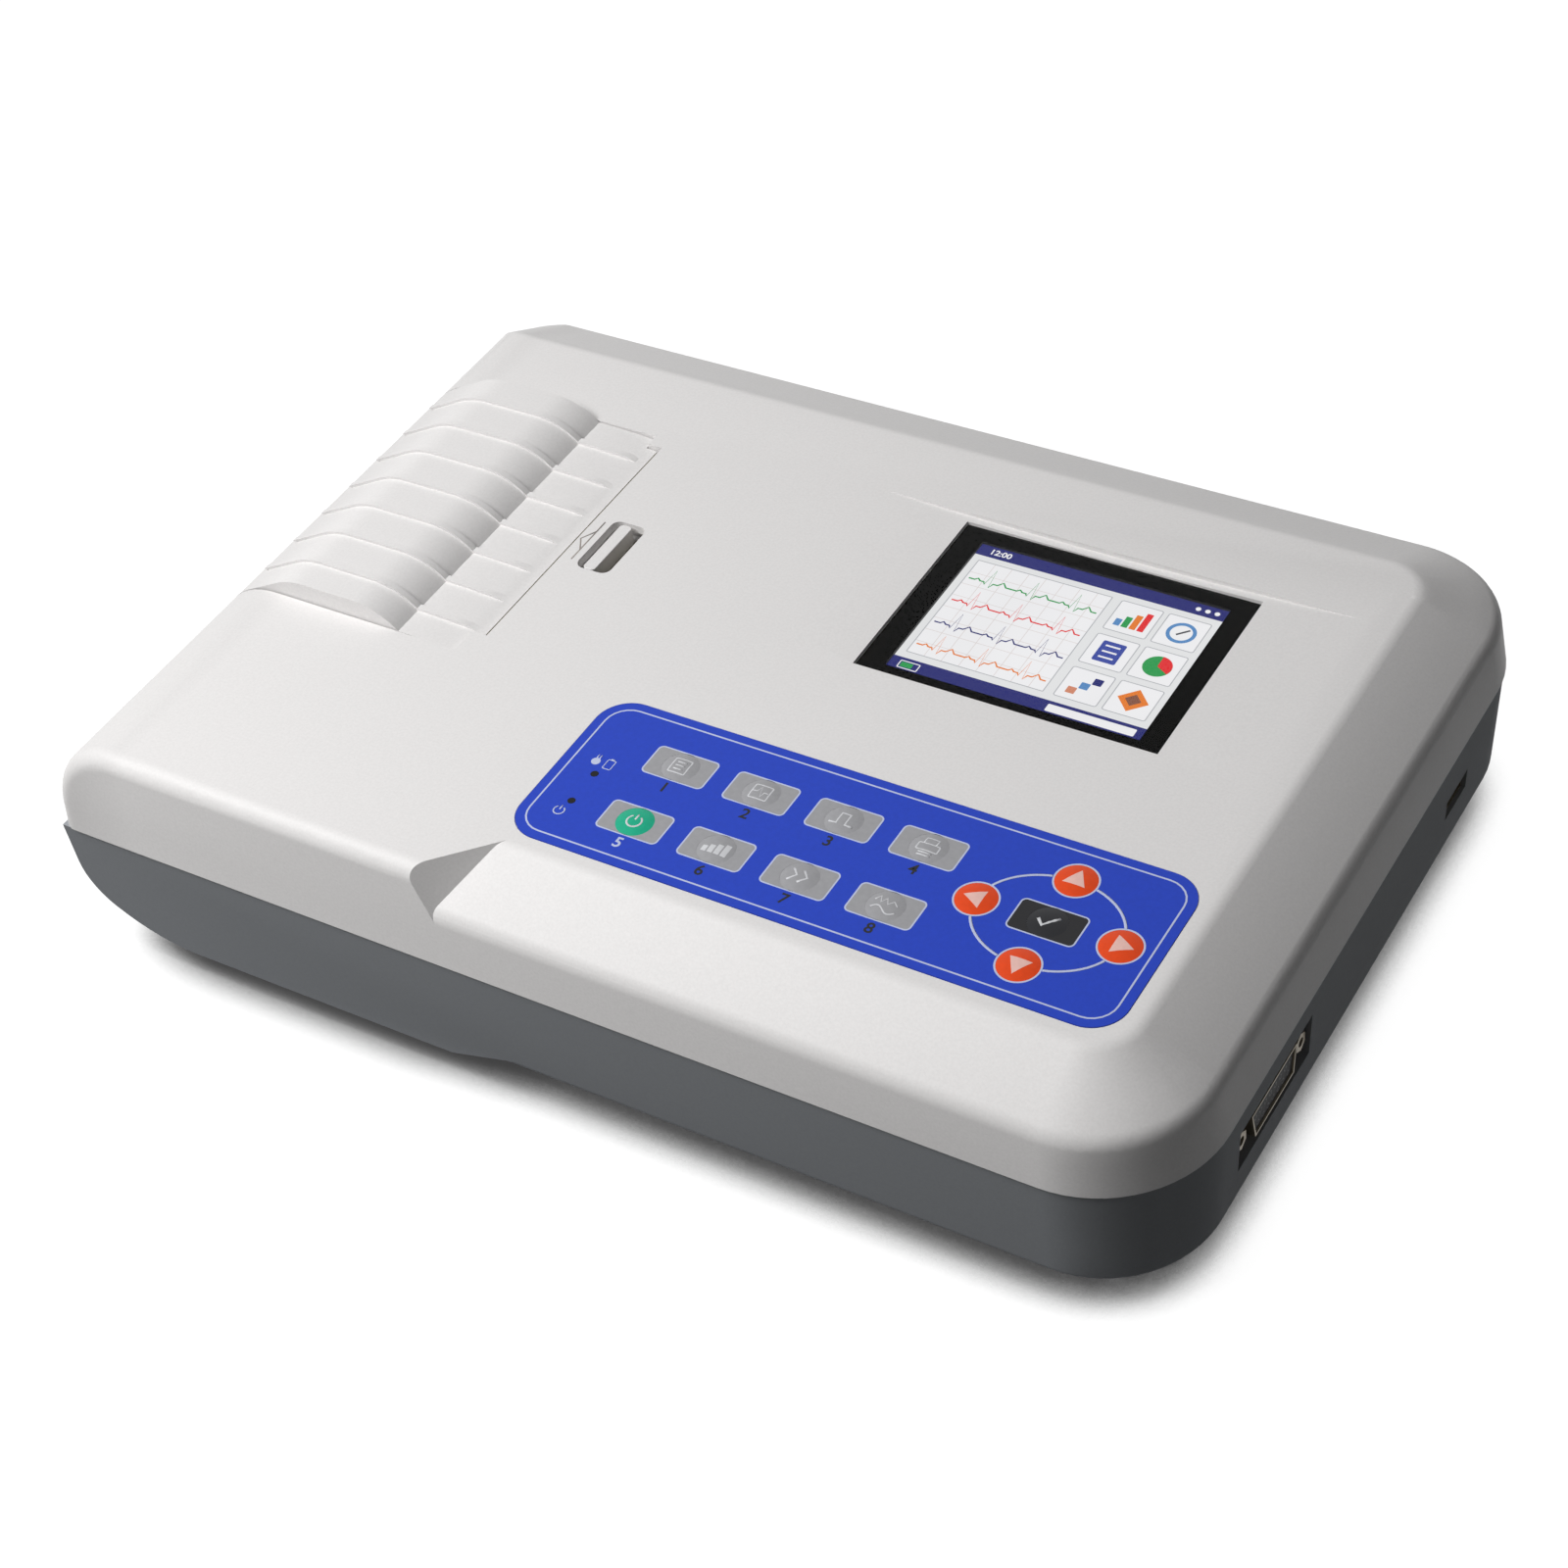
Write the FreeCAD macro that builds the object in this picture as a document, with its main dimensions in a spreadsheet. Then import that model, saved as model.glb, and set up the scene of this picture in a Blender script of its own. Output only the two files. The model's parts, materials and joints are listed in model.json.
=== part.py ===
import FreeCAD, Part
import math
import os
import Sketcher
from FreeCAD import Placement, Rotation, Vector

# Portable electrocardiograph with a thermal printer, a colour display and a film keypad.
# Millimetres. The origin is on the table under the middle of the case, +X runs to the right
# along the front, +Y to the back and +Z up.

SIZES = {
    # case
    "case_length": 315.0,
    "case_depth": 225.5,
    "wall": 2.5,
    "parting_height": 44.0,
    "top_height": 27.5,
    "shoulder_height": 15.5,
    "wall_draft": 3.5,
    "bevel_inset": 20.4,
    "back_bevel_inset": 25.4,
    "corner_radius": 32.0,
    "left_back_radius": 23.0,
    "corner_overlap": 0.4,
    "left_round": 21.0,
    "facet_start": 113.5,
    "facet_lean": 6.5,
    "plateau_edge_radius": 6.0,
    "shoulder_edge_radius": 6.0,
    "front_edge_radius": 5.0,
    # base
    "reveal": 0.4,
    "base_depth": 33.0,
    "belly_drop": 3.8,
    "base_draft": 2.3,
    "belly_end": 115.0,
    "belly_ramp": 12.0,
    "belly_start": 14.0,
    "belly_knuckle": 18.0,
    "belly_reach": 33.0,
    "base_edge_radius": 3.0,
    # feet and case screws
    "foot_radius": 8.0,
    "foot_flare": 1.5,
    "foot_recess": 1.0,
    "foot_pad_radius": 11.0,
    "left_foot_inset": 52.0,
    "right_foot_inset": 34.0,
    "foot_side_inset": 48.0,
    "screw_radius": 1.5,
    "screw_head_radius": 2.8,
    "screw_head_height": 2.0,
    "screw_clearance": 0.05,
    "screw_head_clearance": 0.4,
    "boss_radius": 4.5,
    "screw_seat_height": 14.0,
    "screw_bite": 12.0,
    "screw_corner_inset": 22.0,
    "screw_middle_inset": 100.0,
    # paper cover
    "cover_middle": 11.25,
    "cover_width": 97.0,
    "cover_reach": 82.3,
    "cover_corner_step": 3.3,
    "cover_front_corner": 8.0,
    "cover_back_corner": 4.0,
    "cover_gap": 0.4,
    "paper_slot": 1.6,
    "cover_wall": 2.4,
    "cover_end_depth": 7.0,
    "bump_height": 5.5,
    "crown_foot": 11.1,
    "crown_round": 20.0,
    "bump_end": 47.0,
    "bump_slope": 14.0,
    "cover_sink": 0.3,
    "cover_fall": 1.2,
    "rib_count": 7,
    "rib_pitch": 12.9,
    "rib_width": 1.8,
    "rib_height": 0.8,
    "rib_end_gap": 2.0,
    "rib_taper": 6.0,
    "rib_start": 18.5,
    "hinge_radius": 3.5,
    "hinge_rise": 5.0,
    "hinge_pin_radius": 1.25,
    "hinge_pin_bite": 3.0,
    "running_clearance": 0.05,
    # paper, tray and platen
    "paper_width": 80.0,
    "roll_radius": 21.0,
    "roll_bore": 6.0,
    "roll_inset": 32.0,
    "roll_drop": 2.0,
    "spindle_neck": 3.0,
    "roll_clearance": 2.5,
    "tray_wall": 2.0,
    "cheek_wall": 2.5,
    "cheek_gap": 1.0,
    "cheek_rise": 4.0,
    "tray_leg": 6.0,
    "tray_leg_spacing": 24.0,
    "platen_radius": 6.0,
    "platen_shaft_radius": 2.5,
    "platen_inset": 76.2,
    "platen_rise": 12.0,
    "ear_wall": 2.5,
    "ear_gap": 0.6,
    "ear_reach": 5.1,
    "bush_radius": 4.0,
    # print drive
    "gear_module": 0.5,
    "gear_width": 3.5,
    "gear_gap": 0.5,
    "platen_teeth": 24,
    "idler_teeth": 30,
    "pinion_teeth": 12,
    "stub_radius": 1.5,
    "motor_radius": 10.0,
    "motor_length": 15.0,
    "motor_shaft_radius": 1.0,
    "motor_shaft_bite": 4.0,
    # print head and its frame
    "contact_gap": 0.3,
    "head_thickness": 1.6,
    "head_width": 84.0,
    "head_height": 14.0,
    "head_drop": 8.0,
    "heatsink_thickness": 4.4,
    "head_travel": 0.5,
    "leaf_thickness": 0.5,
    "leaf_height": 8.0,
    "leaf_span": 50.0,
    "frame_sheet": 1.5,
    "frame_start": 68.0,
    "frame_depth": 27.5,
    "frame_floor": 14.0,
    "frame_height": 31.0,
    "frame_side_gap": 0.5,
    "guide_radius": 1.5,
    "guide_spacing": 70.0,
    "guide_overhang": 2.5,
    "post_radius": 3.5,
    # cover latch
    "latch_start": 89.3,
    "latch_length": 10.2,
    "latch_width": 20.7,
    "latch_middle": 13.85,
    "latch_corner": 2.5,
    "latch_travel": 1.8,
    "ridge_width": 3.7,
    "ridge_sink": 0.3,
    "latch_depth": 5.0,
    "latch_plate": 1.6,
    "latch_overlap": 2.8,
    "rail_wall": 1.5,
    "rail_lip": 1.2,
    "latch_leaf_reach": 4.5,
    "latch_bridge": 2.5,
    "latch_leaf_width": 12.0,
    # display
    "display_width": 83.4,
    "display_height": 61.5,
    "display_right": 55.4,
    "display_from_back": 52.0,
    "display_gap": 0.25,
    "scoop_width": 135.0,
    "scoop_depth": 1.5,
    "scoop_margin_back": 2.5,
    "scoop_margin_front": 0.7,
    "window_drop": 0.2,
    "mask_thickness": 0.8,
    "mask_overlap": 4.0,
    "picture_width": 70.4,
    "picture_height": 52.9,
    "panel_width": 77.0,
    "panel_height": 64.0,
    "panel_thickness": 3.3,
    # keypad
    "overlay_margin": 10.15,
    "overlay_height": 51.7,
    "overlay_right": 24.7,
    "overlay_from_front": 24.9,
    "overlay_corner": 9.0,
    "overlay_thickness": 0.4,
    "overlay_recess": 0.3,
    "overlay_gap": 0.2,
    "key_radius": 4.8,
    "arrow_radius": 5.15,
    "key_gap": 0.2,
    "key_dome": 0.6,
    "key_travel": 0.5,
    "key_skirt": 0.4,
    "stem_radius": 1.75,
    "stem_length": 3.5,
    "key_pitch": 22.9,
    "key_first": 29.15,
    "back_row": 35.7,
    "front_row": 14.8,
    "pad_middle_x": 134.05,
    "pad_middle_y": 25.5,
    "pad_reach_x": 18.3,
    "pad_reach_y": 14.6,
    "switch_side": 6.0,
    "switch_height": 3.5,
    "lamp_radius": 1.0,
    "lamp_inset": 10.85,
    "lamp_back": 25.15,
    "board_thickness": 1.6,
    "board_margin": 2.0,
    # boards, power and sockets
    "main_board_length": 130.0,
    "board_battery_gap": 5.5,
    "board_edge_gap": 4.0,
    "socket_drop": 15.0,
    "socket_from_front": 59.5,
    "socket_flange_end": 2.95,
    "socket_flange_height": 12.5,
    "socket_flange_thickness": 1.0,
    "socket_screw_spacing": 33.3,
    "socket_shell_width": 25.0,
    "socket_shell_height": 8.4,
    "socket_shell_depth": 5.8,
    "socket_shell_slant": 1.6,
    "socket_shell_sheet": 0.5,
    "socket_body_depth": 9.0,
    "socket_well_gap": 0.5,
    "socket_well_wall": 1.5,
    "jack_radius": 2.5,
    "jack_bore": 1.25,
    "jack_length": 5.0,
    "usb_drop": 17.0,
    "usb_from_back": 54.5,
    "usb_width": 13.1,
    "usb_height": 5.7,
    "usb_depth": 14.0,
    "usb_sheet": 0.4,
    "usb_tongue": 1.8,
    "usb_board_width": 24.0,
    "usb_board_length": 22.0,
    "rear_panel_setback": 1.8,
    "rear_panel_height": 26.0,
    "inlet_right": 160.0,
    "inlet_width": 27.0,
    "inlet_height": 19.8,
    "inlet_flange": 2.0,
    "inlet_flange_thickness": 1.6,
    "inlet_depth": 20.0,
    "inlet_wall": 1.5,
    "inlet_floor": 3.0,
    "inlet_chamfer": 5.0,
    "inlet_pin_length": 12.0,
    "inlet_pin_width": 4.0,
    "inlet_pin_thickness": 2.0,
    "inlet_pin_spacing": 7.0,
    "inlet_earth_rise": 4.0,
    "panel_gap": 0.25,
    "rocker_spacing": 36.0,
    "rocker_width": 10.0,
    "rocker_height": 17.2,
    "rocker_throw": 2.4,
    "rocker_body": 4.0,
    "rocker_wall": 2.0,
    "rocker_gap": 0.5,
    "rocker_depth": 14.0,
    "axle_radius": 1.0,
    "supply_length": 40.0,
    "supply_width": 62.0,
    "supply_rise": 6.0,
    "transformer_length": 28.0,
    "transformer_width": 34.0,
    "transformer_height": 24.0,
    "battery_length": 74.0,
    "battery_width": 60.0,
    "battery_height": 20.0,
    "battery_right": 50.0,
    "battery_from_back": 12.0,
    "battery_door_margin": 3.0,
    "battery_door_gap": 0.3,
    "buzzer_radius": 7.0,
    "buzzer_height": 6.0,
}

doc = FreeCAD.newDocument("ecg_machine")
sheet = doc.addObject("Spreadsheet::Sheet", "sizes")
for row, (alias, number) in enumerate(SIZES.items(), start=1):
    sheet.set(f"A{row}", alias)
    sheet.set(f"B{row}", str(number))
    sheet.setAlias(f"B{row}", alias)
doc.recompute()


class Size:
    """A length that knows both its value now and the sheet expression that gives it."""

    def __init__(self, number, text):
        self.number = float(number)
        self.text = text

    @staticmethod
    def of(value):
        return value if isinstance(value, Size) else Size(value, repr(float(value)))

    def __add__(self, other):
        other = Size.of(other)
        return Size(self.number + other.number, f"({self.text} + {other.text})")

    def __sub__(self, other):
        other = Size.of(other)
        return Size(self.number - other.number, f"({self.text} - {other.text})")

    def __mul__(self, other):
        other = Size.of(other)
        return Size(self.number * other.number, f"({self.text} * {other.text})")

    def __truediv__(self, other):
        other = Size.of(other)
        return Size(self.number / other.number, f"({self.text} / {other.text})")

    def __neg__(self):
        return Size(-self.number, f"(-{self.text})")

    def __radd__(self, other):
        return Size.of(other) + self

    def __rsub__(self, other):
        return Size.of(other) - self

    def __rmul__(self, other):
        return Size.of(other) * self

    def root(self):
        return Size(math.sqrt(self.number), f"sqrt({self.text})")


class Sheet:
    """The driving dimensions of the sheet, each under its alias."""

    def __init__(self, names):
        for name in names:
            setattr(self, name, Size(sheet.get(name), f"sizes.{name}"))


d = Sheet(SIZES)
PLANES = {"XY": "XY_Plane", "XZ": "XZ_Plane", "YZ": "YZ_Plane"}
TURNS = {"X": Rotation(Vector(0, 1, 0), 90), "Y": Rotation(Vector(1, 0, 0), -90), "Z": Rotation()}
PAST = 5.0
NEAR = 0.01
nodes = []


def bind(target, prop, value):
    """Tie one property of an object to the sheet."""
    target.setExpression(prop, Size.of(value).text)


def place(target, x, y, z):
    """Tie an object's position to the sheet."""
    bind(target, "Placement.Base.x", x)
    bind(target, "Placement.Base.y", y)
    bind(target, "Placement.Base.z", z)
    return target


def box(x0, y0, z0, x1, y1, z1):
    """A block between two corners."""
    block = doc.addObject("Part::Box", "block")
    bind(block, "Length", x1 - x0)
    bind(block, "Width", y1 - y0)
    bind(block, "Height", z1 - z0)
    return place(block, x0, y0, z0)


def rod(axis, x, y, z, radius, length):
    """A round bar that starts at a point and runs along +X, +Y or +Z."""
    bar = doc.addObject("Part::Cylinder", "bar")
    bind(bar, "Radius", radius)
    bind(bar, "Height", length)
    bar.Placement = Placement(Vector(), TURNS[axis])
    return place(bar, x, y, z)


def fuse(*shapes):
    """Several shapes made one."""
    result = doc.addObject("Part::MultiFuse", "fused")
    result.Shapes = list(shapes)
    result.Refine = True
    return result


def cut(base, *tools):
    """The base less every tool."""
    result = doc.addObject("Part::Cut", "cut")
    result.Base = base
    result.Tool = tools[0] if len(tools) == 1 else fuse(*tools)
    result.Refine = True
    return result


def common(*shapes):
    """What several shapes share."""
    result = doc.addObject("Part::MultiCommon", "shared")
    result.Shapes = list(shapes)
    return result


def group(solids):
    """Separate solids of one kind, kept together in one node."""
    result = doc.addObject("Part::Compound", "group")
    result.Links = list(solids)
    return result


def node(name, target):
    """Name a finished sub-part, which is written to its own file."""
    target.Label = name
    nodes.append(target)
    return target


def draw(body, plane, height, corners):
    """A closed outline on one of the body's origin planes, with every corner tied to the sheet.

    A corner is (x, y), or (x, y, centre x, centre y, turn) where an arc leads to the next corner.
    """
    sketch = body.newObject("Sketcher::SketchObject", "outline")
    origin = next(f for f in body.Origin.OriginFeatures if f.Role == PLANES[plane])
    sketch.AttachmentSupport = [(origin, "")]
    sketch.MapMode = "FlatFace"
    bind(sketch, "AttachmentOffset.Base.z", height)
    points = [Vector(Size.of(c[0]).number, Size.of(c[1]).number, 0) for c in corners]
    ends = []
    for i, corner in enumerate(corners):
        here = points[i]
        there = points[(i + 1) % len(points)]
        if len(corner) == 2:
            sketch.addGeometry(Part.LineSegment(here, there))
            ends.append((1, 2))
            continue
        centre = Vector(Size.of(corner[2]).number, Size.of(corner[3]).number, 0)
        first, last = (here, there) if corner[4] > 0 else (there, here)
        circle = Part.Circle(centre, Vector(0, 0, 1), (here - centre).Length)
        start = math.atan2(first.y - centre.y, first.x - centre.x)
        stop = math.atan2(last.y - centre.y, last.x - centre.x)
        sketch.addGeometry(Part.ArcOfCircle(circle, start, stop))
        ends.append((1, 2) if corner[4] > 0 else (2, 1))
    for i in range(len(corners)):
        after = (i + 1) % len(corners)
        sketch.addConstraint(Sketcher.Constraint("Coincident", i, ends[i][1], after, ends[after][0]))

    def hold(kind, geometry, point, value):
        value = Size.of(value)
        index = sketch.addConstraint(Sketcher.Constraint(kind, -1, 1, geometry, point, value.number))
        bind(sketch, f"Constraints[{index}]", value)

    for i, corner in enumerate(corners):
        hold("DistanceX", i, ends[i][0], corner[0])
        hold("DistanceY", i, ends[i][0], corner[1])
        if len(corner) > 2:
            chord = points[(i + 1) % len(points)] - points[i]
            if abs(chord.x) < abs(chord.y):
                hold("DistanceX", i, 3, corner[2])
            else:
                hold("DistanceY", i, 3, corner[3])
    return sketch


def prism(name, plane, corners, start, length):
    """A body padded from an outline, from start along +X, +Y or +Z."""
    body = doc.addObject("PartDesign::Body", name)
    height = -(start + length) if plane == "XZ" else start
    outline = draw(body, plane, height, corners)
    pad = body.newObject("PartDesign::Pad", name + "_pad")
    pad.Profile = outline
    bind(pad, "Length", length)
    return body


def loft(name, levels):
    """A body drawn through outlines at rising heights."""
    body = doc.addObject("PartDesign::Body", name)
    sections = [draw(body, "XY", height, corners) for height, corners in levels]
    skin = body.newObject("PartDesign::AdditiveLoft", name + "_loft")
    skin.Profile = sections[0]
    skin.Sections = sections[1:]
    skin.Ruled = True
    return body


def turned(name, corners):
    """A body revolved about its own Z axis from an outline of radius and height."""
    body = doc.addObject("PartDesign::Body", name)
    outline = draw(body, "XZ", 0.0, corners)
    spin = body.newObject("PartDesign::Revolution", name + "_spin")
    spin.Profile = outline
    spin.ReferenceAxis = (outline, ["V_Axis"])
    return body


def rounded(x0, y0, x1, y1, radius):
    """Outline of a rectangle with round corners."""
    return [
        (x0 + radius, y0),
        (x1 - radius, y0, x1 - radius, y0 + radius, 1),
        (x1, y0 + radius),
        (x1, y1 - radius, x1 - radius, y1 - radius, 1),
        (x1 - radius, y1),
        (x0 + radius, y1, x0 + radius, y1 - radius, 1),
        (x0, y1 - radius),
        (x0, y0 + radius, x0 + radius, y0 + radius, 1),
    ]


def soften(name, base, radius_of):
    """The base with a fillet on each edge that radius_of gives a radius, by the edge's middle."""
    doc.recompute()
    chosen = []
    for index, edge in enumerate(base.Shape.Edges, start=1):
        radius = radius_of(edge.CenterOfMass)
        if radius is not None:
            chosen.append((index, radius.number, radius.number))
    fillet = doc.addObject("Part::Fillet", name)
    fillet.Base = base
    fillet.Edges = chosen
    return fillet


# Datums of the case
left = -d.case_length / 2
right = d.case_length / 2
front = -d.case_depth / 2
back = d.case_depth / 2
parting = d.parting_height
shoulder = parting + d.shoulder_height
plateau = parting + d.top_height
ceiling = plateau - d.wall
floor = parting - d.base_depth
belly = floor - d.belly_drop
shoulder_inset = d.wall_draft * d.shoulder_height / d.top_height


# Case forms: the same outline serves the outside and, drawn in by the wall, the inside

def case_plan(left_inset, inset, back_inset):
    """Plan of the case drawn in from the parting outline: square at the left end, round at the right."""
    x0 = left + left_inset
    x1 = right - inset
    y0 = front + inset
    y1 = back - back_inset
    radius = d.corner_radius - inset
    return [
        (x0, y0),
        (x1 - radius, y0, x1 - radius, y0 + radius, 1),
        (x1, y0 + radius),
        (x1, y1 - radius, x1 - radius, y1 - radius, 1),
        (x1 - radius, y1),
        (x0, y1),
    ]


def top_form(name, skin):
    """The top's solid form: a bevel along front, right and back, and a raised front left."""
    low = shoulder - 0.6 * skin
    high = plateau - skin
    bevelled = loft(name + "_bevelled", [
        (parting, case_plan(skin, skin, skin)),
        (low, case_plan(skin, shoulder_inset + skin, shoulder_inset + skin)),
        (high, case_plan(skin, d.bevel_inset + skin, d.back_bevel_inset + skin)),
    ])
    slant = d.bevel_inset - d.wall_draft
    behind = front + 2 * d.bevel_inset

    def raised_plan(inset, lean):
        start = left + d.facet_start + lean - skin
        edge = front + inset + skin
        return [(left + skin, edge), (start, edge), (start + slant, edge + slant), (start + slant, behind),
                (left + skin, behind)]

    raised = loft(name + "_raised", [
        (low, raised_plan(shoulder_inset, d.facet_lean)),
        (high, raised_plan(d.wall_draft, 0.0)),
    ])
    radius = d.left_round - skin
    edge = left + skin
    outside = prism(name + "_outside", "XZ", [
        (left - PAST, high + PAST),
        (left - PAST, parting - PAST),
        (edge, parting - PAST),
        (edge, high - radius, edge + radius, high - radius, -1),
        (edge + radius, high),
        (edge + radius, high + PAST),
    ], front - PAST, d.case_depth + 2 * PAST)
    return cut(fuse(bevelled, raised), outside)


def back_corner(name, skin):
    """What lies outside the top's round back left corner, where the back bevel turns to the left end."""
    low = shoulder - 0.6 * skin
    high = plateau - skin
    lean = (d.back_bevel_inset - shoulder_inset) / (high - low)
    x = left + d.left_back_radius - d.corner_overlap
    radius = d.left_back_radius - skin

    def corner_plan(inset):
        y = back - inset - d.left_back_radius + d.corner_overlap
        return [(x, back + PAST), (left - PAST, back + PAST), (left - PAST, y), (x - radius, y, x, y, -1),
                (x, y + radius)]

    return loft(name, [
        (parting - PAST, corner_plan(0.0)),
        (parting, corner_plan(0.0)),
        (low, corner_plan(shoulder_inset)),
        (high + PAST, corner_plan(d.back_bevel_inset + PAST * lean)),
    ])


def base_form(name, skin):
    """The base's solid form: drafted sides, a deeper belly on the left and a big lower left round."""
    inset = d.reveal + skin
    low = belly + skin

    def base_plan(side_inset):
        *plan, (x, y) = case_plan(inset, side_inset, side_inset)
        radius = d.left_back_radius - side_inset
        return [*plan, (x + radius, y, x + radius, y - radius, 1), (x, y - radius)]

    sides = loft(name + "_sides", [(low, base_plan(inset + d.base_draft)), (parting, base_plan(inset))])
    ramp_foot = left + d.belly_end - skin
    step = prism(name + "_step", "XZ", [
        (ramp_foot, low - PAST),
        (ramp_foot, low),
        (ramp_foot + d.belly_ramp, floor + skin),
        (right + PAST, floor + skin),
        (right + PAST, low - PAST),
    ], front - PAST, d.case_depth + 2 * PAST)
    edge = left + inset
    small = d.belly_knuckle - skin
    small_x = left + d.reveal + d.belly_knuckle
    small_z = parting - d.belly_start
    drop = parting - belly - d.belly_start
    span = d.belly_reach - d.belly_knuckle
    large = (span * span + drop * drop - d.belly_knuckle * d.belly_knuckle) / (2 * (drop - d.belly_knuckle))
    large_x = left + d.reveal + d.belly_reach
    large_z = belly + large
    reach = large - d.belly_knuckle
    meet_x = small_x - small * span / reach
    meet_z = small_z + small * (small_z - large_z) / reach
    outside = prism(name + "_outside", "XZ", [
        (left - PAST, low - PAST),
        (large_x, low - PAST),
        (large_x, low, large_x, large_z, -1),
        (meet_x, meet_z, small_x, small_z, -1),
        (edge, small_z),
        (edge, parting + PAST),
        (left - PAST, parting + PAST),
    ], front - PAST, d.case_depth + 2 * PAST)
    return cut(sides, step, outside)


def top_edge_radius(middle):
    """Radius of the soft edge of the top form that this edge belongs to."""
    high = abs(middle.z - plateau.number) < NEAR
    low = abs(middle.z - shoulder.number) < NEAR
    bevel_edge = (middle.x > (left + d.facet_start + d.bevel_inset).number
                  or middle.y > (back - 1.5 * d.back_bevel_inset).number)
    at_front = middle.y < (front + 2 * d.wall_draft).number
    at_left = middle.x < (left + d.left_round).number
    if high and bevel_edge:
        return d.plateau_edge_radius
    if low and bevel_edge:
        return d.shoulder_edge_radius
    if at_front and (high or (at_left and middle.z > parting.number + NEAR)):
        return d.front_edge_radius
    return None


def base_edge_radius(middle):
    """Radius of the soft lower edge of the base along its front, right and back."""
    low = abs(middle.z - floor.number) < NEAR
    past_ramp = middle.x > (left + d.belly_end + d.belly_ramp + 1.0).number
    return d.base_edge_radius if low and past_ramp else None


top_outside = cut(soften("top_soft", top_form("top", 0.0), top_edge_radius), back_corner("top_corner", 0.0))
top_shell = cut(top_outside, cut(top_form("top_inside", d.wall), back_corner("inside_corner", d.wall)))
base_outside = soften("base_soft", base_form("base", 0.0), base_edge_radius)
base_shell = cut(base_outside, base_form("base_inside", d.wall))


# Places that several pieces share
hinge_x = left + d.hinge_radius
hinge_z = parting + d.hinge_rise
cover_front = d.cover_middle - d.cover_width / 2
cover_back = d.cover_middle + d.cover_width / 2
cover_right = left + d.cover_reach
cover_flat = plateau - d.cover_sink
bump_top = plateau + d.bump_height
display_x1 = right - d.display_right
display_x0 = display_x1 - d.display_width
display_y1 = back - d.display_from_back
display_y0 = display_y1 - d.display_height
display_x = (display_x0 + display_x1) / 2
display_y = (display_y0 + display_y1) / 2
overlay_x1 = right - d.overlay_right
overlay_x0 = overlay_x1 - d.overlay_margin - d.pad_reach_x - d.pad_middle_x
overlay_y0 = front + d.overlay_from_front
overlay_y1 = overlay_y0 + d.overlay_height
overlay_bed = plateau - d.overlay_recess
overlay_top = overlay_bed + d.overlay_thickness
skirt_z = ceiling - d.key_skirt
stem_z = skirt_z - d.stem_length
switch_z = stem_z - d.key_travel - d.contact_gap
keypad_board_z = switch_z - d.switch_height
key_columns = [overlay_x0 + d.key_first + i * d.key_pitch for i in range(4)]
back_keys = overlay_y0 + d.back_row
front_keys = overlay_y0 + d.front_row
pad_x = overlay_x0 + d.pad_middle_x
pad_y = overlay_y0 + d.pad_middle_y
KEYS = [
    ("menu_key", key_columns[0], back_keys, d.key_radius),
    ("mode_key", key_columns[1], back_keys, d.key_radius),
    ("pulse_key", key_columns[2], back_keys, d.key_radius),
    ("print_key", key_columns[3], back_keys, d.key_radius),
    ("power_key", key_columns[0], front_keys, d.key_radius),
    ("gain_key", key_columns[1], front_keys, d.key_radius),
    ("speed_key", key_columns[2], front_keys, d.key_radius),
    ("filter_key", key_columns[3], front_keys, d.key_radius),
    ("left_key", pad_x - d.pad_reach_x, pad_y, d.arrow_radius),
    ("right_key", pad_x + d.pad_reach_x, pad_y, d.arrow_radius),
    ("up_key", pad_x, pad_y + d.pad_reach_y, d.arrow_radius),
    ("down_key", pad_x, pad_y - d.pad_reach_y, d.arrow_radius),
    ("set_key", pad_x, pad_y, d.key_radius),
]
LAMPS = [(overlay_x0 + d.lamp_inset, overlay_y0 + d.lamp_back), (overlay_x0 + d.lamp_inset, front_keys)]
corner_x = (left + d.screw_corner_inset, left + d.screw_middle_inset, right - d.screw_corner_inset)
corner_y = (front + d.screw_corner_inset, back - d.screw_corner_inset)
SCREWS = [(x, y) for x in corner_x for y in corner_y]
pin_start = cover_front - d.cover_gap - d.hinge_pin_bite
pin_length = d.cover_width + 2 * d.cover_gap + 2 * d.hinge_pin_bite


def key_holes(low, high):
    """Bars that open the holes of all keys and lamps through a sheet."""
    bars = [rod("Z", x, y, low, radius + d.key_gap, high - low) for _, x, y, radius in KEYS]
    return bars + [rod("Z", x, y, low, d.lamp_radius + d.running_clearance, high - low) for x, y in LAMPS]


def overlay_plan(margin):
    """Outline of the keypad film, grown by a margin."""
    return rounded(overlay_x0 - margin, overlay_y0 - margin, overlay_x1 + margin, overlay_y1 + margin,
                   d.overlay_corner + margin)


# Latch places: a plate under the top's wall with a finger ridge in a slot
latch_x0 = left + d.latch_start
latch_x1 = latch_x0 + d.latch_length
latch_y0 = d.latch_middle - d.latch_width / 2
latch_y1 = d.latch_middle + d.latch_width / 2
plate_top = plateau - d.latch_depth
plate_low = plate_top - d.latch_plate
plate_x0 = latch_x0 - d.latch_overlap
plate_x1 = latch_x1 + d.latch_overlap + d.latch_travel
plate_half = d.latch_width / 2 + d.rail_lip + d.contact_gap
lip_top = plate_low - d.contact_gap
rail_low = lip_top - d.rail_lip
stop_x = plate_x1 + d.contact_gap
stop_end = stop_x + d.rail_wall
window_x1 = stop_end + d.latch_leaf_reach
plate_end = window_x1 + d.latch_bridge
inside_wall = ceiling + d.wall / 2


# Top housing: a moulded shell with the bevel, the raised front left and the big left round

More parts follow.
